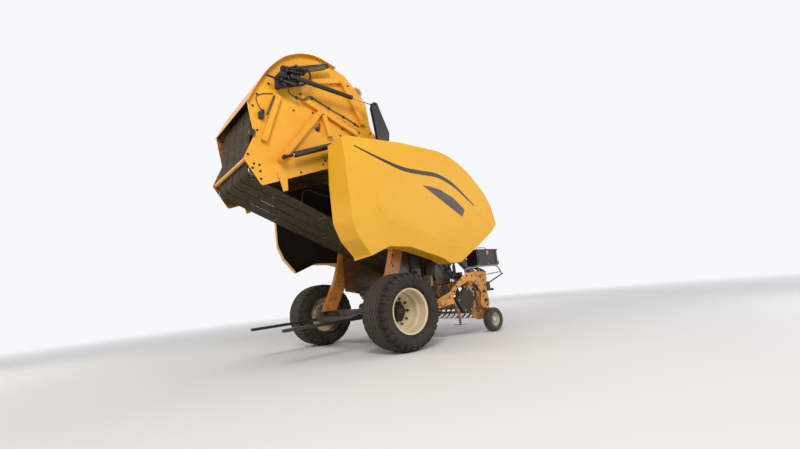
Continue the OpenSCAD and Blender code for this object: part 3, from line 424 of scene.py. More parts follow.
def bare_metal(name, colour, rust, rough=0.35, metallic=0.85, eye=None, eye_reach=0.1):
    """Scratched metal with rust spots and dust. A rod's eye, at (x, z) from the axle, is brown iron."""
    f = Finish(name)
    scratch = f.noise(f.stretched(f.place, (30.0, 3.0, 30.0)), 6.0, 4.0, 0.7)
    tone = f.mix(scratch, colour, scaled(colour, 0.6))
    if eye:
        iron = f.mix(scratch, rgb(92, 62, 34), rgb(58, 42, 28))
        tone = f.mix(within_reach(f, from_axle(eye[0], 0, eye[1]), eye_reach), tone, iron)
    spots = f.group(WEAR, Colour=tone, Under=(0.16, 0.06, 0.02, 1), Amount=rust, Scale=9.0)
    dusty = f.group(DUST, Colour=spots["Colour"], Amount=0.45, Height=2.2, Roughness=rough)
    f.set(Base_Color=dusty["Colour"], Roughness=dusty["Roughness"],
          Metallic=f.maths("MULTIPLY", f.maths("SUBTRACT", 1.0, dusty["Mask"]), metallic))
    f.bump(scratch, 0.0005, 0.4)
    return f.material


GAUGE_AXLE, GAUGE_RIM = from_axle(1.850, 1.130, 0.185), 0.107
CROP_DUST = rgb(120, 100, 74)
CHROME = (0.72, 0.69, 0.62, 1)


def gauge_finish():
    """Rubber outside, and light paint on the small rim within GAUGE_RIM of the axle."""
    f = Finish("gauge_wheel_rubber")
    rim = within_reach(f, GAUGE_AXLE, GAUGE_RIM)
    tone = f.mix(rim, rgb(36, 33, 31), rgb(205, 198, 182))
    dusty = f.group(DUST, Colour=tone, Dust=CROP_DUST, Amount=0.6, Height=0.6, Grain=20.0, Roughness=0.6)
    f.set(Base_Color=dusty["Colour"], Roughness=dusty["Roughness"])
    f.bump(f.noise(f.place, 90.0, 4.0, 0.6), 0.0008, 0.5)
    return f.material


YELLOW = painted("golden_paint", rgb(236, 169, 42), rgb(228, 155, 34), 0.25, 1.1)
# inside_tones: painted shade, with dirt, on the inner sides of the tailgate's sheets
GATE_YELLOW = painted("golden_paint_gate", rgb(236, 171, 42), rgb(228, 155, 34), 0.22, 3.0,
                      dark_within=WALL_SKIN, inside_tones=(rgb(104, 70, 42), rgb(176, 122, 66)))
# inside_tones: painted shade, with dirt, on the inner sides of the walls; outer_tones: a darker painted shade
# on the walls' outer faces
FRAME_YELLOW = painted("golden_paint_frame", rgb(242, 156, 56), rgb(214, 124, 46), 0.5, 1.9, wear=0.7,
                       dark_within=0.69, inside_tones=(rgb(92, 62, 36), rgb(166, 108, 56)),
                       outer_tones=(rgb(24, 19, 15), rgb(66, 44, 28)))
FOLD = moulding("golden_moulding_fold")
MOULDED = moulding("golden_moulding", shell_middle=tuple(from_axle(0.55, 0.95, 2.05)))
WORKED = painted("golden_paint_worn", rgb(228, 154, 50), rgb(176, 110, 46), 0.6, 1.2, wear=0.7)
BANDS = painted("golden_paint_scoured", rgb(150, 98, 48), rgb(92, 62, 40), 0.6, 1.2, wear=0.9, rough=0.6,
                coat=0.0)
# inside_tones: painted shade and dirt on the inner side of the rims
CREAM = painted("cream_rim_paint", rgb(228, 212, 180), rgb(204, 184, 146), 0.6, 0.95, rough=0.45,
                dark_within=1.012, inside_tones=(rgb(44, 37, 30), rgb(112, 96, 74)))
HUB_BLACK = painted("black_hub_paint", rgb(22, 17, 13), rgb(36, 27, 19), 0.12, 0.9, wear=0.1, rough=0.55,
                    coat=0.0)
BLACK = painted("black_paint", rgb(30, 28, 28), rgb(40, 37, 35), 0.35, 1.9, rough=0.42, coat=0.15)
RAMP = painted("black_ramp_paint", rgb(24, 23, 23), rgb(36, 33, 31), 0.10, 0.9, wear=0.35, rough=0.35,
               under=rgb(140, 132, 120))
SOOTED = painted("sooted_iron", rgb(44, 38, 32), rgb(26, 23, 21), 0.3, 1.9, wear=0.5, rough=0.6, coat=0.0)
# the olive colour is a painted sheen: it stands in for light on the dark plastic of the valve cover
OLIVE_PAINTED_SHEEN = painted("olive_painted_sheen_plastic", rgb(92, 84, 44), rgb(74, 68, 40), 0.2, 2.0, wear=0.0, rough=0.4)
STEEL = bare_metal("bare_steel", (0.34, 0.32, 0.30, 1), 0.35)
LIFT_CHROME = bare_metal("lift_rod_chrome", CHROME, 0.0, 0.16, 1.0, (-1.375, 2.575), 0.12)
DENSITY_CHROME = bare_metal("density_rod_chrome", CHROME, 0.0, 0.16, 1.0, (0.060, 3.560), 0.06)
BELT = belting("belt_rubber")
TYRE = rubber("tyre_rubber", rgb(27, 25, 23), rgb(104, 92, 80), 0.34, 90.0, 1.5, 0.2,
              (from_axle(0, 0, TYRE_RADIUS), 0.4955, 0.960, 1.270))
MESH_GREY = rubber("grille_plastic", rgb(92, 86, 82), CROP_DUST, 0.3, 120.0, 2.0)
PLASTIC = rubber("black_plastic", rgb(30, 29, 29), rgb(110, 92, 64), 0.4, 60.0, 1.6)
GAUGE = gauge_finish()

# The finish of each CAD node, by the start of its name; the rest are black
NODE_FINISH = {
    "wall_": FRAME_YELLOW, "gate_wall": GATE_YELLOW, "gate_tubes": YELLOW, "gate_cover": YELLOW,
    "front_hood": YELLOW, "shield": MOULDED, "pickup_frame": WORKED, "stripper_bands": BANDS, "rim": CREAM,
    "tyre": TYRE, "gauge_wheel": GAUGE, "chain_guard": HUB_BLACK, "vent": MESH_GREY, "front_rollers": STEEL,
    "gate_rollers": STEEL, "pickup_reel": STEEL, "jack_leg": STEEL, "lift_rod": LIFT_CHROME,
    "density_rod": DENSITY_CHROME, "front_belts": BELT, "gate_belts": BELT, "belt_span": BELT,
    "pto_shaft": PLASTIC, "bale_ramp": RAMP,
}


def finish_nodes():
    """Every CAD node gets its finish in each of its material slots."""
    for name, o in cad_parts.items():
        finish = next((m for key, m in NODE_FINISH.items() if name.startswith(key)), BLACK)
        if not o.material_slots:
            o.data.materials.append(finish)
        for s in o.material_slots:
            s.material = finish


finish_nodes()


# Meshes made here, each in place in the frame

MERGE = 0.00005  # points nearer than this are one
POINTED = 0.0005  # a lathe row of a smaller radius needs no end face


def piece(name, points, faces, finish, body, slot, **more):
    """A mesh of its own from points and faces, with its doubles merged and its faces turned outwards."""
    mesh = bpy.data.meshes.new(name)
    mesh.from_pydata([tuple(p) for p in points], [], faces)
    work = bmesh.new()
    work.from_mesh(mesh)
    bmesh.ops.remove_doubles(work, verts=work.verts, dist=MERGE)
    bmesh.ops.recalc_face_normals(work, faces=work.faces)
    work.to_mesh(mesh)
    work.free()
    placed(name, mesh, finish, body, slot, **more)


def placed(name, mesh, finish, body, slot, smooth=40.0, replaces=(), bend=()):
    """A mesh that rides on a body, or, given bend, one whose place is baked into its points.

    Edges sharper than smooth degrees stay crisp."""
    mesh.shade_smooth()
    mesh.set_sharp_from_angle(angle=math.radians(smooth))
    if not mesh.materials:
        mesh.materials.append(finish)
    made = in_scene(name, mesh)
    if bend:
        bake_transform(made)
    else:
        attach(made, body)
    if replaces:
        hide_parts(*replaces)


def on_circle(centre, radius, along, turn):
    """A point at a radius and an angle about the Y axis through centre, and a distance along it."""
    return centre + Vector((radius * math.cos(turn), along, radius * math.sin(turn)))


def heading(path, i):
    """The direction of a path at its point i."""
    return (path[min(i + 1, len(path) - 1)] - path[max(i - 1, 0)]).normalized()


def net(rows, wide, closed_rows=False, closed_wide=True):
    """Faces between neighbouring rows of wide points each; closed joins the last to the first."""
    faces = []
    for i in range(rows if closed_rows else rows - 1):
        for k in range(wide if closed_wide else wide - 1):
            n, m = (i + 1) % rows, (k + 1) % wide
            faces.append((i * wide + k, i * wide + m, n * wide + m, n * wide + k))
    return faces


class Shape:
    """Points and faces that are gathered from several solids into one piece."""

    def __init__(self):
        self.points, self.faces = [], []

    def add(self, points, faces):
        base = len(self.points)
        self.points += [Vector(p) for p in points]
        self.faces += [tuple(base + i for i in face) for face in faces]

    def lathe(self, rows, centre, steps=48, side=1):
        """Turns (radius, distance along Y) rows about a Y axis through centre; side mirrors it."""
        points = [on_circle(centre, radius, side * along, 2 * math.pi * k / steps)
                  for radius, along in rows for k in range(steps)]
        faces = net(len(rows), steps)
        for row in (0, len(rows) - 1):
            if rows[row][0] > POINTED:
                faces.append(tuple(row * steps + k for k in range(steps)))
        self.add(points, faces)

    def tube(self, path, radius, sides=8):
        """A round bar along a path, its ends closed."""
        points = []
        across = heading(path, 0).orthogonal().normalized()
        for i, at in enumerate(path):
            ahead = heading(path, i)
            across = (across - ahead * across.dot(ahead)).normalized()
            up = ahead.cross(across)
            for k in range(sides):
                turn = 2 * math.pi * k / sides
                points.append(at + (across * math.cos(turn) + up * math.sin(turn)) * radius)
        last = (len(path) - 1) * sides
        ends = [tuple(range(sides)), tuple(last + k for k in range(sides))]
        self.add(points, net(len(path), sides) + ends)

    def slab(self, outline, near, far):
        """A flat outline of (x, z) made solid between two distances along Y."""
        n = len(outline)
        points = [Vector((x, near, z)) for x, z in outline] + [Vector((x, far, z)) for x, z in outline]
        faces = [tuple(range(n)), tuple(range(n, 2 * n))]
        faces += [(k, (k + 1) % n, n + (k + 1) % n, n + k) for k in range(n)]
        self.add(points, faces)

    def plate(self, outline, near, far, side):
        """A slab of (x, z) from the axle between two distances from the centre line."""
        self.slab([(x + AXLE_X, z) for x, z in outline], side * near, side * far)

    def done(self, name, finish, body, slot, **more):
        piece(name, self.points, self.faces, finish, body, slot, **more)


def curved(points, parts=6):
    """A smooth run through the given points."""
    run = [points[0] * 2 - points[1]] + list(points) + [points[-1] * 2 - points[-2]]
    out = []
    for a, b, c, d in zip(run, run[1:], run[2:], run[3:]):
        for k in range(parts):
            t = k / parts
            out.append(0.5 * (2 * b + (c - a) * t + (2 * a - 5 * b + 4 * c - d) * t * t
                              + (3 * b - a - 3 * c + d) * t ** 3))
    return out + [Vector(points[-1])]


def on_both_sides(*makers):
    """Calls each maker with the name and the sign of the right side, then with those of the left."""
    for name, side in SIDES:
        for make in makers:
            make(name, side)


# Road tyres

LUGS = 30
LUG_PITCH = 12.0  # degrees from one shoulder lug to the next
INNER_SLOT, OUTER_SLOT = (0.4, 4.2), (6.4, 10.2)  # the gaps between the lugs, in degrees within a pitch
TURNS = (0.0, 0.4, 0.41, 3.0, 4.19, 4.2, 6.0, 6.4, 6.41, 9.0, 10.19, 10.2)  # the sections within a pitch
CROWN = ((0.0, TYRE_RADIUS), (0.090, TYRE_RADIUS), (0.190, 0.502), (0.228, 0.478), (0.249, 0.428))
WALL = ((-0.163, 0.279), (-0.188, 0.284), (-0.196, 0.303), (-0.224, 0.322), (-0.237, 0.345), (-0.246, 0.385),
        (-0.2495, 0.420))
GROOVES_AT = (-0.126, -0.063, 0.0, 0.063, 0.126)
GROOVE_WIDE, GROOVE_DEEP, GROOVE_LEAN, ZIGZAG = 0.015, 0.020, 0.002, 0.014
SLOT_DEEP = 0.024
# Where a shoulder is bent: (distance from the middle plane, share of the slot's depth there)
LUG_BENDS = ((0.249, 0.2), (0.240, 0.8), (0.228, 1.0), (0.205, 1.0), (0.180, 1.0), (0.177, 0.0))


def crown(y):
    """Radius of the tread's face at a distance from the tyre's middle plane."""
    y = abs(y)
    for (a, ra), (b, rb) in zip(CROWN, CROWN[1:]):
        if y <= b:
            return ra + (rb - ra) * (y - a) / (b - a)
    return CROWN[-1][1]


def zigzag(degrees):
    """How far the grooves are moved along Y at an angle."""
    part = ((degrees + LUG_PITCH / 4) / LUG_PITCH) % 1.0
    return ZIGZAG * (4 * part - 1 if part < 0.5 else 3 - 4 * part)


def tyre_section(degrees):
    """Points across the tyre at one angle, from the inner bead to the outer: (distance, radius)."""
    shoulders = []
    for sign, (start, end) in ((-1, INNER_SLOT), (1, OUTER_SLOT)):
        cut = SLOT_DEEP if start < degrees % LUG_PITCH < end else 0.0
        shoulders.append([(sign * y, crown(y) - cut * share) for y, share in LUG_BENDS])
    grooves = []
    for at in GROOVES_AT:
        mid, half = at + zigzag(degrees), GROOVE_WIDE / 2
        floor = crown(mid) - GROOVE_DEEP
        grooves += [(mid - half - GROOVE_LEAN, crown(mid - half)), (mid - half, floor), (mid + half, floor),
                    (mid + half + GROOVE_LEAN, crown(mid + half))]
    far_wall = [(-y, radius) for y, radius in reversed(WALL)]
    return list(WALL) + shoulders[0] + grooves + shoulders[1][::-1] + far_wall


def road_tyre(name, side):
    """Zigzag ribs round the middle of the tread and block lugs on both shoulders."""
    turns = [LUG_PITCH * k + part for k in range(LUGS) for part in TURNS]
    centre = from_axle(0, side * WHEEL_Y, TYRE_RADIUS)
    points = [on_circle(centre, radius, side * y, math.radians(turn))
              for turn in turns for y, radius in tyre_section(turn)]
    faces = net(len(turns), len(tyre_section(0.0)), closed_rows=True)
    piece("road_" + name, points, faces, TYRE, "wheel_" + name, "tyre_rubber", smooth=30.0,
          replaces=("tyre_" + name,))


STUDS, STUD_RING = 10, 0.176
VALVE_AT = Vector((-0.236, 0, 0.085))  # from the wheel's centre


def wheel_hub(name, side):
    """Black hub cap, a ring of wheel studs with their nuts and the valve."""
    centre = from_axle(0, side * WHEEL_Y, TYRE_RADIUS)
    hub = Shape()
    hub.lathe([(0.152, -0.1000), (0.152, -0.088), (0.146, -0.084), (0.110, -0.084)], centre, 6, side)
    hub.lathe([(0.112, -0.1195), (0.112, -0.098), (0.104, -0.090), (0.089, -0.086), (0.089, -0.060),
               (0.078, -0.052), (0.062, -0.050), (0.058, -0.020), (0.048, -0.010), (0.0001, -0.008)],
              centre, 40, side)
    hub.done("wheel_hub_" + name, HUB_BLACK, "wheel_" + name, "black_paint")
    studs = Shape()
    for k in range(STUDS):
        at = on_circle(centre, STUD_RING, 0, 2 * math.pi * k / STUDS)
        studs.lathe([(0.019, -0.098), (0.019, -0.081), (0.015, -0.079)], at, 16, side)
        studs.lathe([(0.015, -0.080), (0.015, -0.064), (0.012, -0.061)], at, 6, side)
        studs.lathe([(0.008, -0.062), (0.008, -0.050)], at, 10, side)
    studs.done("wheel_nuts_" + name, BLACK, "wheel_" + name, "bare_steel")
    valve = Shape()
    at = centre + VALVE_AT
    valve.lathe([(0.005, -0.070), (0.005, 0.030)], at, 10, side)
    valve.lathe([(0.007, 0.020), (0.007, 0.042), (0.004, 0.044)], at, 10, side)
    valve.done("tyre_valve_" + name, PLASTIC, "wheel_" + name, "black_plastic")


on_both_sides(road_tyre, wheel_hub)

# Side shields: stripe and pressed folds

SHIELD_OUT, SHIELD_ROUND, SHIELD_MIDDLE = 1.212, 6.0, 1.850  # its face is an arc from top to bottom
SUNK = 0.0004  # how far a band's edges lie under that face


def shield_face(z):
    """Distance of a shield's outer face from the centre line at a height."""
    return SHIELD_OUT - SHIELD_ROUND + math.sqrt(SHIELD_ROUND ** 2 - (z - SHIELD_MIDDLE) ** 2)


def along_shield(name, line, widths, profile, finish, side_name, side, slot):
    """A band on a shield's face along a line of (x, z) from the axle; profile is (share across, height)."""
    path = curved([Vector((x, 0, z)) for x, z in line], 10)
    points = []
    for i, at in enumerate(path):
        ahead = heading(path, i)
        over = Vector((-ahead.z, 0, ahead.x))
        share = i / (len(path) - 1) * (len(widths) - 1)
        low = min(int(share), len(widths) - 2)
        width = widths[low] + (widths[low + 1] - widths[low]) * (share - low)
        taper = min(1.0, min(i, len(path) - 1 - i) / 5)
        for across, height in profile:
            p = at + over * across * width
            points.append(from_axle(p.x, side * (shield_face(p.z) + height * taper - SUNK), p.z))
    faces = net(len(path), len(profile), closed_wide=False)
    piece(name + "_" + side_name, points, faces, finish, "shield_" + side_name, slot, smooth=25.0)


# Lines, widths along them and profiles of the stripe and the two pressed folds
STRIPE_PROFILE = ((-0.5, 0.0), (-0.49, 0.0014), (0.49, 0.0014), (0.5, 0.0))
STRIPE_LINE = ((-0.60, 2.756), (-0.20, 2.616), (0.22, 2.496), (0.55, 2.472), (0.88, 2.462), (1.12, 2.388),
               (1.31, 2.280), (1.51, 2.125), (1.68, 1.996))
STRIPE_WIDTHS = (0.018, 0.036, 0.066, 0.070, 0.072, 0.068, 0.054, 0.036, 0.014)
UPPER_WIDTHS = (0.05, 0.07, 0.08, 0.08, 0.08, 0.07, 0.05)
UPPER_PROFILE = ((-1.6, 0.0), (-0.9, 0.003), (-0.2, 0.011), (0.0, 0.013), (0.16, 0.0))
UPPER_FOLD = ((-0.64, 2.716), (-0.20, 2.560), (0.22, 2.430), (0.55, 2.400), (0.88, 2.388), (1.12, 2.312),
              (1.31, 2.205), (1.51, 2.060), (1.68, 1.940), (1.86, 1.815), (2.04, 1.690))
LOWER_WIDTHS = (0.05, 0.08, 0.11, 0.12, 0.10, 0.05)
LOWER_PROFILE = ((-1.9, 0.0), (-1.0, 0.003), (-0.25, 0.011), (0.0, 0.013), (0.2, 0.0))
LOWER_FOLD = ((-0.32, 2.08), (-0.27, 1.87), (-0.03, 1.69), (0.48, 1.545), (1.00, 1.385), (1.40, 1.335))


def shield_trim(name, side):
    """The dark stripe and the two folds of one shield."""
    along_shield("shield_stripe", STRIPE_LINE, STRIPE_WIDTHS, STRIPE_PROFILE, BLACK, name, side,
                 "black_plastic")
    along_shield("shield_fold_upper", UPPER_FOLD, UPPER_WIDTHS, UPPER_PROFILE, FOLD, name, side,
                 "yellow_moulding")
    along_shield("shield_fold_lower", LOWER_FOLD, LOWER_WIDTHS, LOWER_PROFILE, FOLD, name, side,
                 "yellow_moulding")


on_both_sides(shield_trim)

# Tailgate cover: it follows the round back of the gate, with the side sheets drawn out to meet it

COVER_RUN = ((-0.470, 4.0835), (-0.625, 4.132), (-0.780, 4.166), (-0.930, 4.158), (-1.090, 4.110),
             (-1.290, 3.992), (-1.490, 3.780), (-1.640, 3.540), (-1.770, 3.2905))
WALL_CHORD = ((-1.750, 3.285), (-1.615, 3.450), (-1.480, 3.615), (-1.345, 3.780), (-1.210, 3.945),
              (-1.100, 4.050), (-0.930, 4.105), (-0.780, 4.140))
COVER_THICK = 0.006
CROWN_FROM = -0.779  # ahead of this the side sheets of the solids reach the cover themselves
CROWN_SHEET = (0.6715, 0.6805)


def round_back():
    """The cover's sheet, and a crescent of side sheet between it and each side wall."""
    run = curved([from_axle(x, 0, z) for x, z in COVER_RUN], 6)
    outer = []
    for i, at in enumerate(run):
        ahead = heading(run, i)
        outer.append(at + Vector((ahead.z, 0, -ahead.x)) * COVER_THICK)
    sheet = Shape()
    sheet.slab([(p.x, p.z) for p in outer + run[::-1]], -RIB_FACE, RIB_FACE)
    sheet.done("gate_cover_sheet", YELLOW, "tailgate", "yellow_paint", smooth=30.0, replaces=("gate_cover",))
    arc = [(p.x - AXLE_X, p.z) for p in run if p.x < CROWN_FROM + AXLE_X]
    for side_name, side in SIDES:
        crescent = Shape()
        crescent.plate(arc[::-1] + list(WALL_CHORD[::-1]), *CROWN_SHEET, side)
        crescent.done("gate_crown_" + side_name, GATE_YELLOW, "tailgate", "yellow_paint", smooth=30.0)


round_back()

# Bolts: a washer and a six-sided head at each point, through the sheet along Y

BOLT_SIZES = (("Head Radius", 0.011), ("Head Height", 0.009), ("Washer Radius", 0.016),
              ("Washer Height", 0.003))
BOLT_CORNERS = (("Head", 6), ("Washer", 18))


def bolt_tree():
    """The geometry nodes that set a bolt at each point, with the sizes as inputs."""
    tree = bpy.data.node_groups.new("bolt_row", "GeometryNodeTree")
    tree.interface.new_socket(name="Places", in_out="INPUT", socket_type="NodeSocketGeometry")
    for label, value in BOLT_SIZES:
        size = tree.interface.new_socket(name=label, in_out="INPUT", socket_type="NodeSocketFloat")
        size.default_value = value
    tree.interface.new_socket(name="Finish", in_out="INPUT", socket_type="NodeSocketMaterial")
    tree.interface.new_socket(name="Bolts", in_out="OUTPUT", socket_type="NodeSocketGeometry")
    t = Tree(tree)
    given, out = t.node("NodeGroupInput"), t.node("NodeGroupOutput")
    both = t.node("GeometryNodeJoinGeometry")
    for label, count in BOLT_CORNERS:
        disc = t.node("GeometryNodeMeshCylinder")
        disc.inputs["Vertices"].default_value = count
        t.feed(disc.inputs["Radius"], given.outputs[label + " Radius"])
        t.feed(disc.inputs["Depth"], t.maths("MULTIPLY", given.outputs[label + " Height"], 2.0))
        t.feed(both.inputs["Geometry"], disc.outputs["Mesh"])
    spread = t.node("GeometryNodeInstanceOnPoints")
    t.feed(spread.inputs["Points"], given.outputs["Places"])
    t.feed(spread.inputs["Instance"], both.outputs["Geometry"])
    spread.inputs["Rotation"].default_value = (math.radians(90), 0, 0)
    real, finish = t.node("GeometryNodeRealizeInstances"), t.node("GeometryNodeSetMaterial")
    t.feed(real.inputs["Geometry"], spread.outputs["Instances"])
    t.feed(finish.inputs["Geometry"], real.outputs["Geometry"])
    t.feed(finish.inputs["Material"], given.outputs["Finish"])
    t.feed(out.inputs["Bolts"], finish.outputs["Geometry"])
    return tree


BOLTS = bolt_tree()


def bolts(name, y, rows, finish, body, slot, sides=SIDES, **sizes):
    """Bolts at (x, z) from the axle and at y from the centre line, on both sides of the machine or on one."""
    places = [from_axle(x, side * y, z) for x, z in rows for _, side in sides]
    mesh = bpy.data.meshes.new(name + "_places")
    mesh.from_pydata([tuple(p) for p in places], [], [])
    holder = in_scene(name + "_places", mesh)
    modifier = holder.modifiers.new("bolts", "NODES")
    modifier.node_group = BOLTS
    sockets = {i.name: i.identifier for i in BOLTS.interface.items_tree if i.in_out == "INPUT"}
    for label, value in sizes.items():
        modifier[sockets[label.replace("_", " ")]] = value
    modifier[sockets["Finish"]] = finish
    ready = holder.evaluated_get(bpy.context.evaluated_depsgraph_get())
    made = bpy.data.meshes.new_from_object(ready)
    holder.modifiers.remove(modifier)
    bpy.data.objects.remove(holder)
    placed(name, made, finish, body, slot, smooth=30.0)


def pipe(shape, rows, radius, side, sides=8, parts=5):
    """A bent steel pipe through (x, distance from the centre line, z) rows from the axle."""
    shape.tube(curved([from_axle(x, side * y, z) for x, y, z in rows], parts), radius, sides)


def block(shape, low, high, side, chamfer=0.006):
    """A machined block between two corners, with chamfers along Y."""
    (x0, y0, z0), (x1, y1, z1) = low, high
    c = chamfer
    shape.plate([(x0 + c, z0), (x1 - c, z0), (x1, z0 + c), (x1, z1 - c), (x1 - c, z1), (x0 + c, z1),
                 (x0, z1 - c), (x0, z0 + c)], y0, y1, side)


PLUG_CHAMFER, PLUG_END = 0.003, 0.8


def plug(shape, x, y, z, radius, long, side, steps=14):
    """A round fitting that stands out along Y, its end chamfered."""
    rows = [(radius, y), (radius, y + long - PLUG_CHAMFER), (radius * PLUG_END, y + long)]
    shape.lathe(rows, from_axle(x, 0, z), steps, side)


# Tailgate: valves, pipes, pipe clips, sensor and bolts

PIPE_Y = 0.752
VALVE_BACK = 0.790  # the valve plate's face, on which the blocks sit
TWIN = 0.022  # from the upper to the lower of the two long pipes
LONG_PIPE = ((-1.245, PIPE_Y, 3.53), (-1.21, PIPE_Y, 3.487), (-1.12, PIPE_Y, 3.462), (-1.035, PIPE_Y, 3.460),
             (-0.955, PIPE_Y, 3.512), (-0.88, PIPE_Y, 3.508), (-0.745, PIPE_Y, 3.449),
             (-0.556, PIPE_Y, 3.378), (-0.33, PIPE_Y, 3.300), (-0.16, PIPE_Y, 3.225))


def gate_valve_set(name, side):
    """Valve blocks with their plugs, the pipes between them, the long pipes with clips, and a cover."""
    blocks, pipes = Shape(), Shape()
    for low, high in (((-1.335, 3.580), (-1.150, 0.846, 3.615)), ((-1.395, 3.640), (-1.300, 0.868, 3.715)),
                      ((-1.140, 3.775), (-1.020, 0.850, 3.835))):
        block(blocks, (low[0], VALVE_BACK, low[1]), high, side)
    for x, z in ((-1.375, 3.600), (-1.345, 3.545), (-1.120, 3.660), (-1.160, 3.850)):
        plug(blocks, x, VALVE_BACK, z, 0.021, 0.075, side)
    for x, z in ((-1.360, 3.665), (-1.330, 3.695), (-1.330, 3.770), (-1.265, 3.770), (-1.200, 3.770),
                 (-1.110, 3.805), (-1.055, 3.805)):
        plug(blocks, x, 0.845, z, 0.015, 0.045, side, 6)
    pipe(blocks, ((-1.545, 0.792, 3.652), (-1.480, 0.796, 3.640), (-1.380, 0.812, 3.625)), 0.013, side)
    for k, (x, high) in enumerate(((-1.200, 3.830), (-1.265, 3.815))):
        out = 0.014 * k
        pipe(pipes, ((x, 0.880 + out, 3.770), (x + 0.02, 0.905 + out, 3.785), (x + 0.10, 0.895 + out, high),
                     (-1.020 + out, 0.880, 3.825), (-0.965 + out, 0.850, 3.775), (-0.975 + out, 0.815, 3.700),
                     (-1.050, 0.813, 3.640 - out), (-1.130, 0.813, 3.605 - out)), 0.0075, side)
    pipe(pipes, ((-1.330, 0.880, 3.695), (-1.300, 0.900, 3.720), (-1.220, 0.895, 3.735),
                 (-1.130, 0.880, 3.740), (-1.080, 0.850, 3.790)), 0.0075, side)
    pipe(pipes, ((-1.360, 0.880, 3.665), (-1.385, 0.890, 3.620), (-1.350, 0.870, 3.560),
                 (-1.290, 0.830, 3.540), (-1.245, 0.770, 3.530), (-1.235, PIPE_Y, 3.505)), 0.0065, side)
    for low in (0.0, TWIN):
        pipe(pipes, [(x + low * 0.3, y, z - low) for x, y, z in LONG_PIPE], 0.006, side)
    for x, z in ((-1.130, 3.452), (-0.900, 3.500), (-0.650, 3.404), (-0.420, 3.322), (-0.230, 3.245)):
        block(pipes, (x - 0.014, 0.737, z - 0.020), (x + 0.014, 0.764, z + 0.022), side, 0.004)
    pipe(pipes, ((-1.430, 0.690, 3.470), (-1.560, 0.688, 3.440), (-1.650, 0.688, 3.380),
                 (-1.637, 0.688, 3.288), (-1.600, 0.690, 3.215)), 0.005, side)
    blocks.done("gate_valve_blocks_" + name, BLACK, "tailgate", "black_paint", smooth=35.0)
    pipes.done("gate_pipes_" + name, BLACK, "tailgate", "black_paint", smooth=50.0)
    # painted sheen: the cover's olive colour stands in for light on dark plastic
    cover = Shape()
    cover.plate(((-0.975, 3.885), (-0.960, 3.842), (-0.700, 3.950), (-0.690, 3.995), (-0.735, 4.000)), 0.7975,
                0.828, side)
    cover.done("gate_valve_cover_" + name, OLIVE_PAINTED_SHEEN, "tailgate", "black_plastic", smooth=20.0)


def gate_fittings(name, side):
    """Dark irons, a short strut and a sensor on the side wall, and a flange by the upper front roller."""
    dark = Shape()
    block(dark, (-1.640, WALL_FACE, 3.085), (-1.575, 0.722, 3.175), side, 0.010)
    block(dark, (-1.600, WALL_FACE, 3.160), (-1.560, 0.706, 3.215), side, 0.004)
    pipe(dark, ((-1.440, 0.752, 3.405), (-1.545, 0.752, 3.140)), 0.013, side, 10)
    pipe(dark, ((-1.432, 0.745, 3.425), (-1.553, 0.745, 3.118)), 0.006, side)
    if side < 0:
        block(dark, (-1.765, WALL_FACE, 2.845), (-1.690, 0.712, 2.925), side, 0.018)
    centre = from_axle(-0.815, 0, 3.095)
    sensor = ((0.036, WALL_FACE), (0.036, 0.690), (0.026, 0.695), (0.026, 0.720), (0.020, 0.724),
              (0.0001, 0.724))
    dark.lathe(sensor, centre, 20, side)
    pipe(dark, ((-0.815, 0.700, 3.095), (-0.775, 0.700, 3.165)), 0.008, side)
    dark.done("gate_fittings_" + name, BLACK, "tailgate", "black_paint", smooth=35.0)
    disc = Shape()
    disc.lathe([(0.062, 0.600), (0.088, 0.603), (0.088, 0.634), (0.080, 0.638), (0.062, 0.638)],
               from_axle(-0.060, 0, 3.840), 36, side)
    disc.done("roller_flange_" + name, YELLOW, "tailgate", "yellow_paint")


on_both_sides(gate_valve_set, gate_fittings)

bolts("gate_bolts", 0.680, (
    (-0.866, 3.322), (-0.775, 3.170), (-1.785, 2.600), (-1.716, 2.489), (-1.734, 2.434), (-1.640, 2.400),
    (-1.650, 2.480), (-1.635, 2.304), (-1.657, 2.930), (-0.729, 2.650), (-0.761, 2.590), (-1.395, 2.330),
    (-1.100, 2.440), (-0.860, 3.190), (-0.450, 3.060), (-0.410, 3.165), (-0.120, 3.160), (0.080, 3.180),
    (-0.160, 3.700), (-0.250, 3.880), (-1.150, 3.300), (-1.040, 3.560), (-1.360, 3.560), (-1.700, 3.250),
    (-1.640, 3.420), (-1.480, 3.600), (-0.640, 3.080), (-0.300, 2.720)), BLACK, "tailgate", "black_paint")
bolts("gate_rib_bolts", RIB_FACE, (
    (-1.385, 3.400), (-1.575, 2.830), (-0.800, 3.290), (-1.350, 2.610), (-1.000, 3.470), (-0.250, 3.145),
    (-0.820, 3.775), (-0.420, 3.895), (-0.350, 3.860), (-0.090, 3.350)),
    GATE_YELLOW, "tailgate", "yellow_paint", Head_Radius=0.012)

# Belts between the main frame and the tailgate, cut across into short lengths

HINGE = from_axle(0.250, 0, 2.850)
RUN_FROM, RUN_TO = from_axle(1.020, 0, 1.220), from_axle(-1.690, 0, 2.430)
RUN_CUTS, WRAP_REACH = 44, 0.30
BELT_PITCH, BELT_WIDE, BELT_COUNT = 0.300, 0.275, 4
# Belts lie outside their rollers, whose radii are 100 mm at the frame's end and 75 mm at the tailgate's
RUN_OFFSET = 0.096
LACES_AT = (0.62, 0.30, 0.48, 0.74)  # how far along the run each belt's ends meet
STAPLES, STAPLE_HALF, STAPLE_LIFT, STAPLE_LEAN, STAPLE_WIRE = 24, 0.017, 0.0022, 0.003, 0.0016


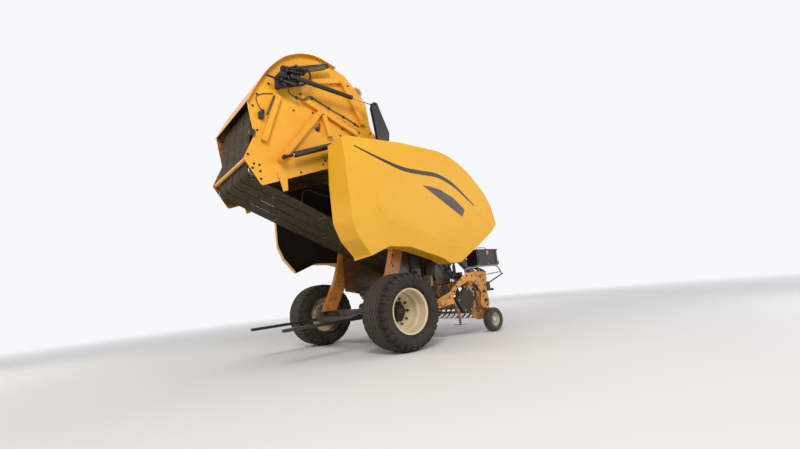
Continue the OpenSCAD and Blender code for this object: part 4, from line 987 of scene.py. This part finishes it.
def belt_part(name, keep, cuts, start, end):
    """A copy of the belts' CAD mesh, cut across into short lengths between start and end."""
    work = bmesh.new()
    work.from_mesh(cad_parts["belt_span"].data)
    bmesh.ops.remove_doubles(work, verts=work.verts, dist=MERGE)
    bmesh.ops.delete(work, geom=[v for v in work.verts if not keep(v.co)], context="VERTS")
    bmesh.ops.dissolve_limit(work, angle_limit=math.radians(0.5), verts=work.verts, edges=work.edges)
    for k in range(1, cuts):
        every = list(work.verts) + list(work.edges) + list(work.faces)
        bmesh.ops.bisect_plane(work, geom=every, dist=0.00001, plane_co=start + (end - start) * k / cuts,
                               plane_no=(end - start).normalized())
    bmesh.ops.recalc_face_normals(work, faces=work.faces)
    mesh = bpy.data.meshes.new(name)
    work.to_mesh(mesh)
    work.free()
    placed(name, mesh, BELT, None, "belt_rubber", replaces=("belt_span",), bend=(start, end))


def near_hinge(co):
    """Whether a point belongs to the part of the belts that wraps round the hinge's rollers."""
    return math.hypot(co.x - HINGE.x, co.z - HINGE.z) < WRAP_REACH


belt_part("belt_run", lambda co: not near_hinge(co), RUN_CUTS, RUN_FROM, RUN_TO)
belt_part("belt_wrap", near_hinge, 1, HINGE + Vector((0.06, 0, -0.02)), HINGE + Vector((-0.02, 0, 0.06)))


def belt_lacing():
    """A row of wire staples where a belt's ends meet, at a different place on each belt."""
    along = (RUN_TO - RUN_FROM).normalized()
    under = Vector((-along.z, 0, along.x))
    if under.z > 0:
        under.negate()
    lacing = Shape()
    for belt, share in enumerate(LACES_AT):
        middle = (belt - (BELT_COUNT - 1) / 2) * BELT_PITCH
        at = RUN_FROM + (RUN_TO - RUN_FROM) * share + under * RUN_OFFSET
        for k in range(STAPLES):
            y = middle + (k - (STAPLES - 1) / 2) * (BELT_WIDE - 0.02) / STAPLES
            p = Vector((at.x, y, at.z))
            leg, back = along * STAPLE_HALF, along * (STAPLE_HALF - STAPLE_LEAN)
            lift = under * STAPLE_LIFT
            lacing.tube([p - leg, p - back + lift, p + back + lift, p + leg], STAPLE_WIRE, 4)
    mesh = bpy.data.meshes.new("belt_lacing")
    mesh.from_pydata([tuple(p) for p in lacing.points], [], lacing.faces)
    placed("belt_lacing", mesh, STEEL, None, "belt_rubber", bend=(RUN_FROM, RUN_TO))


belt_lacing()

# Chassis: pipes, brackets and straps beside the chamber, bolts on the legs and walls

# The pipes along the outer side of each wall, as (radius, rows)
WALL_PIPES = (
    (0.015, ((1.180, 0.700, 1.330), (1.212, 0.735, 1.240), (1.297, 0.742, 1.188), (1.380, 0.745, 1.118),
             (1.430, 0.745, 1.000), (1.508, 0.745, 0.930))),
    (0.013, ((1.120, 0.700, 1.340), (1.160, 0.735, 1.200), (1.262, 0.742, 1.140), (1.330, 0.745, 1.060),
             (1.372, 0.745, 0.960), (1.440, 0.745, 0.900))),
    (0.010, ((0.560, 0.700, 1.300), (0.700, 0.712, 1.262), (0.900, 0.712, 1.300), (1.060, 0.712, 1.268),
             (1.160, 0.712, 1.300))),
    (0.010, ((0.560, 0.700, 1.160), (0.640, 0.712, 1.100), (0.720, 0.712, 0.980), (0.860, 0.712, 0.900))))


def chamber_side(name, side):
    """Pipes, irons and a lug on a side wall of the chamber, and the stay of its shield."""
    pipes, irons = Shape(), Shape()
    for radius, rows in WALL_PIPES:
        pipe(pipes, rows, radius, side)
    for x, z in ((1.240, 1.215), (1.410, 1.060), (0.800, 1.280), (0.700, 1.020)):
        block(irons, (x - 0.020, WALL_FACE, z - 0.030), (x + 0.020, 0.722, z + 0.030), side, 0.006)
    for x in (0.600, 0.840, 1.080):
        block(irons, (x - 0.006, WALL_FACE, 0.880), (x + 0.006, 0.706, 1.340), side, 0.002)
        block(irons, (x, WALL_FACE, 0.880), (x + 0.038, 0.684, 1.340), side, 0.001)
    block(irons, (0.560, WALL_FACE, 1.345), (1.420, 0.720, 1.385), side, 0.006)
    block(irons, (0.880, WALL_FACE, 0.980), (1.060, 0.735, 1.130), side, 0.020)
    irons.plate(((0.600, 0.700), (0.860, 0.640), (1.000, 0.560), (1.020, 0.600), (0.870, 0.685),
                 (0.610, 0.740)), WALL_FACE, 0.712, side)
    pipes.done("frame_pipes_" + name, BLACK, "chassis", "black_paint", smooth=50.0)
    irons.done("frame_irons_" + name, SOOTED, "chassis", "black_paint", smooth=30.0)
    lug = Shape()
    block(lug, (0.945, 0.7345, 0.830), (0.985, 0.752, 0.950), side, 0.008)
    block(lug, (0.930, WALL_FACE, 0.810), (1.000, 0.738, 0.832), side, 0.004)
    lug.done("frame_lug_" + name, WORKED, "chassis", "yellow_paint", smooth=30.0)
    prop = Shape()
    pipe(prop, ((-0.284, 1.000, 2.470), (-0.275, 1.000, 2.560), (-0.250, 1.000, 2.655),
                (-0.153, 1.000, 2.697), (0.046, 1.000, 2.650), (0.300, 1.000, 2.600),
                (0.420, 1.020, 2.590)), 0.012, side, 10)
    block(prop, (0.400, 0.980, 2.560), (0.440, 1.155, 2.620), side, 0.008)
    block(prop, (-0.300, 0.985, 2.440), (-0.262, 1.170, 2.480), side, 0.008)
    prop.done("shield_stay_" + name, STEEL, "shield_" + name, "bare_steel", smooth=50.0)


def density_seat(name, side):
    """A black collar round a density cylinder's boss, and a cap over its pin."""
    seat = Shape()
    centre = from_axle(-1.230, 0, 3.672)
    seat.lathe([(0.046, 0.7985), (0.047, 0.801), (0.047, 0.834), (0.043, 0.8365)], centre, 32, side)
    seat.done("density_collar_" + name, BLACK, "tailgate", "black_paint")
    cap = Shape()
    rows = ((0.027, 0.8835), (0.027, 0.8895), (0.016, 0.8915), (0.012, 0.8955), (0.0001, 0.8955))
    cap.lathe(rows, centre, 20, side)
    cap.done("density_pin_cap_" + name, BLACK, "tailgate", "bare_steel")


on_both_sides(chamber_side, density_seat)

bolts("frame_bolts", 0.713, (
    (-0.070, 0.660), (0.020, 0.660), (0.000, 0.760), (0.090, 0.930), (0.160, 0.960), (0.250, 1.150),
    (0.300, 1.400), (0.420, 1.440), (0.380, 1.640), (0.450, 1.760), (0.360, 1.800), (0.260, 1.300)),
    BLACK, "chassis", "black_paint")
bolts("wall_bolts", 0.6805, (
    (0.640, 1.450), (0.800, 1.450), (0.960, 1.450), (1.120, 1.450), (0.700, 0.820), (0.950, 0.620),
    (1.080, 0.560), (1.300, 0.560), (1.380, 0.640), (1.400, 0.900), (1.640, 1.250), (1.780, 1.260),
    (1.900, 1.350), (1.960, 1.520), (0.520, 2.520), (1.400, 2.700), (1.860, 2.200), (1.960, 1.900)),
    SOOTED, "chassis", "black_paint")

# Valve box on the right: lid with its hinges and catch, handle, couplings and their pipes

COUPLING_ROWS = (1.125, 1.215)  # heights of the two rows of couplings
COUPLINGS_Y = (0.745, 0.810, 0.875)


def valve_box_fittings():
    _, side = RIGHT_ONLY[0]
    lid, iron, pipes = Shape(), Shape(), Shape()
    block(lid, (1.874, 0.690, 1.3085), (2.436, 0.946, 1.334), side, 0.009)
    block(lid, (1.900, 0.720, 1.333), (2.410, 0.916, 1.341), side, 0.003)
    for x in (1.930, 2.380):
        block(lid, (x - 0.012, 0.934, 1.090), (x + 0.012, 0.943, 1.300), side, 0.003)
    for x in (1.990, 2.320):
        block(iron, (x - 0.035, 0.676, 1.285), (x + 0.035, 0.701, 1.345), side, 0.008)
    block(iron, (2.125, 0.934, 1.255), (2.185, 0.944, 1.322), side, 0.004)
    pipe(iron, ((2.030, 0.818, 1.339), (2.032, 0.818, 1.366), (2.060, 0.818, 1.376), (2.155, 0.818, 1.378),
                (2.250, 0.818, 1.376), (2.278, 0.818, 1.366), (2.280, 0.818, 1.339)), 0.007, side, 10)
    for z in COUPLING_ROWS:
        for y in COUPLINGS_Y:
            pipe(pipes, ((2.424, y, z), (2.462, y, z)), 0.017, side, 6, 1)
            pipe(pipes, ((2.460, y, z), (2.486, y, z)), 0.011, side, 12, 1)
    for y in COUPLINGS_Y:
        pipe(pipes, ((2.480, y, 1.125), (2.512, y, 1.120), (2.528, y - 0.004, 1.096),
                     (2.508, y - 0.010, 1.070), (2.460, y - 0.014, 1.059), (2.410, y - 0.016, 1.062),
                     (2.370, y - 0.016, 1.076)), 0.008, side)
    lid.done("valve_box_lid", BLACK, "chassis", "black_paint", smooth=30.0)
    iron.done("valve_box_catch", STEEL, "chassis", "bare_steel", smooth=40.0)
    pipes.done("valve_box_couplings", PLASTIC, "chassis", "black_plastic", smooth=45.0)


valve_box_fittings()
bolts("valve_box_bolts", 0.935, [(x, z) for x in (1.905, 2.155, 2.405) for z in (1.090, 1.235)], STEEL,
      "chassis", "bare_steel", RIGHT_ONLY, Head_Radius=0.007, Head_Height=0.006, Washer_Radius=0.011)

# Pickup: boxes, struts and bolts on its arms, and the hoops, fingers and rails of the wind guard


def pickup_trim(name, side):
    """Boxes, a strut and irons on a pickup arm, and the hoop over the wind guard."""
    boxes = Shape()
    block(boxes, (0.775, ARM_FACE, 0.510), (1.040, 1.103, 0.588), side, 0.016)
    block(boxes, (0.990, ARM_FACE, 0.560), (1.045, 1.090, 0.640), side, 0.012)
    boxes.plate(((1.050, 0.560), (1.086, 0.560), (1.206, 0.286), (1.196, 0.262), (1.170, 0.270)),
                ARM_FACE, 1.063, side)
    boxes.plate(((1.050, 0.560), (1.060, 0.560), (1.182, 0.266), (1.170, 0.270)), ARM_FACE, 1.090, side)
    block(boxes, (1.640, ARM_FACE, 0.905), (1.880, 1.075, 0.948), side, 0.010)
    boxes.done("pickup_boxes_" + name, WORKED, "pickup", "yellow_paint", smooth=30.0)
    iron = Shape()
    for x, z, long in ((1.470, 0.560, 0.060), (1.545, 0.690, 0.050), (1.800, 0.640, 0.040),
                       (1.830, 0.500, 0.040)):
        plug(iron, x, ARM_FACE, z, 0.024, long, side, 18)
    pipe(iron, ((1.585, 1.077, 0.330), (1.560, 1.077, 0.700)), 0.020, side, 12, 2)
    pipe(iron, ((1.560, 1.077, 0.690), (1.553, 1.077, 0.800)), 0.010, side, 8, 2)
    block(iron, (1.525, ARM_FACE, 0.520), (1.605, 1.101, 0.560), side, 0.008)
    block(iron, (1.545, ARM_FACE, 0.360), (1.620, 1.101, 0.400), side, 0.008)
    iron.done("pickup_irons_" + name, BLACK, "pickup", "black_paint", smooth=35.0)
    hoop = Shape()
    pipe(hoop, ((1.560, 0.965, 0.920), (1.500, 0.968, 0.985), (1.580, 0.968, 1.022), (1.840, 0.968, 1.040),
                (2.200, 0.968, 1.050), (2.330, 0.968, 1.035), (2.400, 0.968, 0.970), (2.440, 0.965, 0.905)),
         0.011, side, 10)
    pipe(hoop, ((1.960, 0.968, 0.900), (2.150, 0.968, 0.915), (2.370, 0.968, 0.930), (2.420, 0.968, 0.930)),
         0.009, side)
    pipe(hoop, ((1.840, 0.968, 1.040), (1.850, 0.968, 0.940), (1.850, 0.966, 0.835)), 0.009, side)
    hoop.done("wind_guard_hoop_" + name, STEEL, "wind_guard", "bare_steel", smooth=50.0)


FINGERS, FINGER_PITCH = 15, 0.122
FINGER_LINE = ((2.045, 0.792), (1.985, 0.800), (1.850, 0.768), (1.700, 0.742), (1.560, 0.755), (1.470, 0.800))
RAIL_FROM, RAIL_TO, TIES_AT = 0.455, 0.620, (0.470, 0.605)  # the rail's two halves and their ties


def wind_guard_fingers():
    """Spring fingers on the crop roller, each with a coil and a bent tip, and two short rails behind."""
    fingers, ties = Shape(), Shape()
    for k in range(FINGERS):
        y = (k - (FINGERS - 1) // 2) * FINGER_PITCH
        fingers.tube(curved([from_axle(x, y, z) for x, z in FINGER_LINE], 4), 0.005, 6)
        fingers.lathe([(0.034, y - 0.022), (0.040, y - 0.018), (0.040, y + 0.018), (0.034, y + 0.022)],
                      from_axle(2.050, 0, 0.760), 14)
    for _, side in SIDES:
        for y in TIES_AT:
            ties.tube([from_axle(2.050, side * y, 0.760), from_axle(2.260, side * y, 0.826)], 0.009, 8)
        ties.tube([from_axle(2.262, side * y, 0.826) for y in (RAIL_FROM, RAIL_TO)], 0.011, 10)
    fingers.done("wind_guard_fingers", STEEL, "wind_guard", "bare_steel", smooth=50.0)
    ties.done("wind_guard_rail", BLACK, "wind_guard", "black_paint", smooth=50.0)


on_both_sides(pickup_trim)
wind_guard_fingers()
bolts("pickup_bolts", 1.050, (
    (0.800, 0.560), (1.120, 0.690), (1.180, 0.760), (1.300, 0.850), (1.440, 0.905), (1.760, 0.870),
    (1.840, 0.820), (1.850, 0.740), (1.780, 0.560), (1.850, 0.420), (1.800, 0.360)),
    SOOTED, "pickup", "yellow_paint")
bolts("guard_bolts", 1.110, (
    (1.140, 0.550), (1.250, 0.390), (1.390, 0.390), (1.470, 0.600), (1.345, 0.700)),
    STEEL, "pickup", "bare_steel", RIGHT_ONLY)
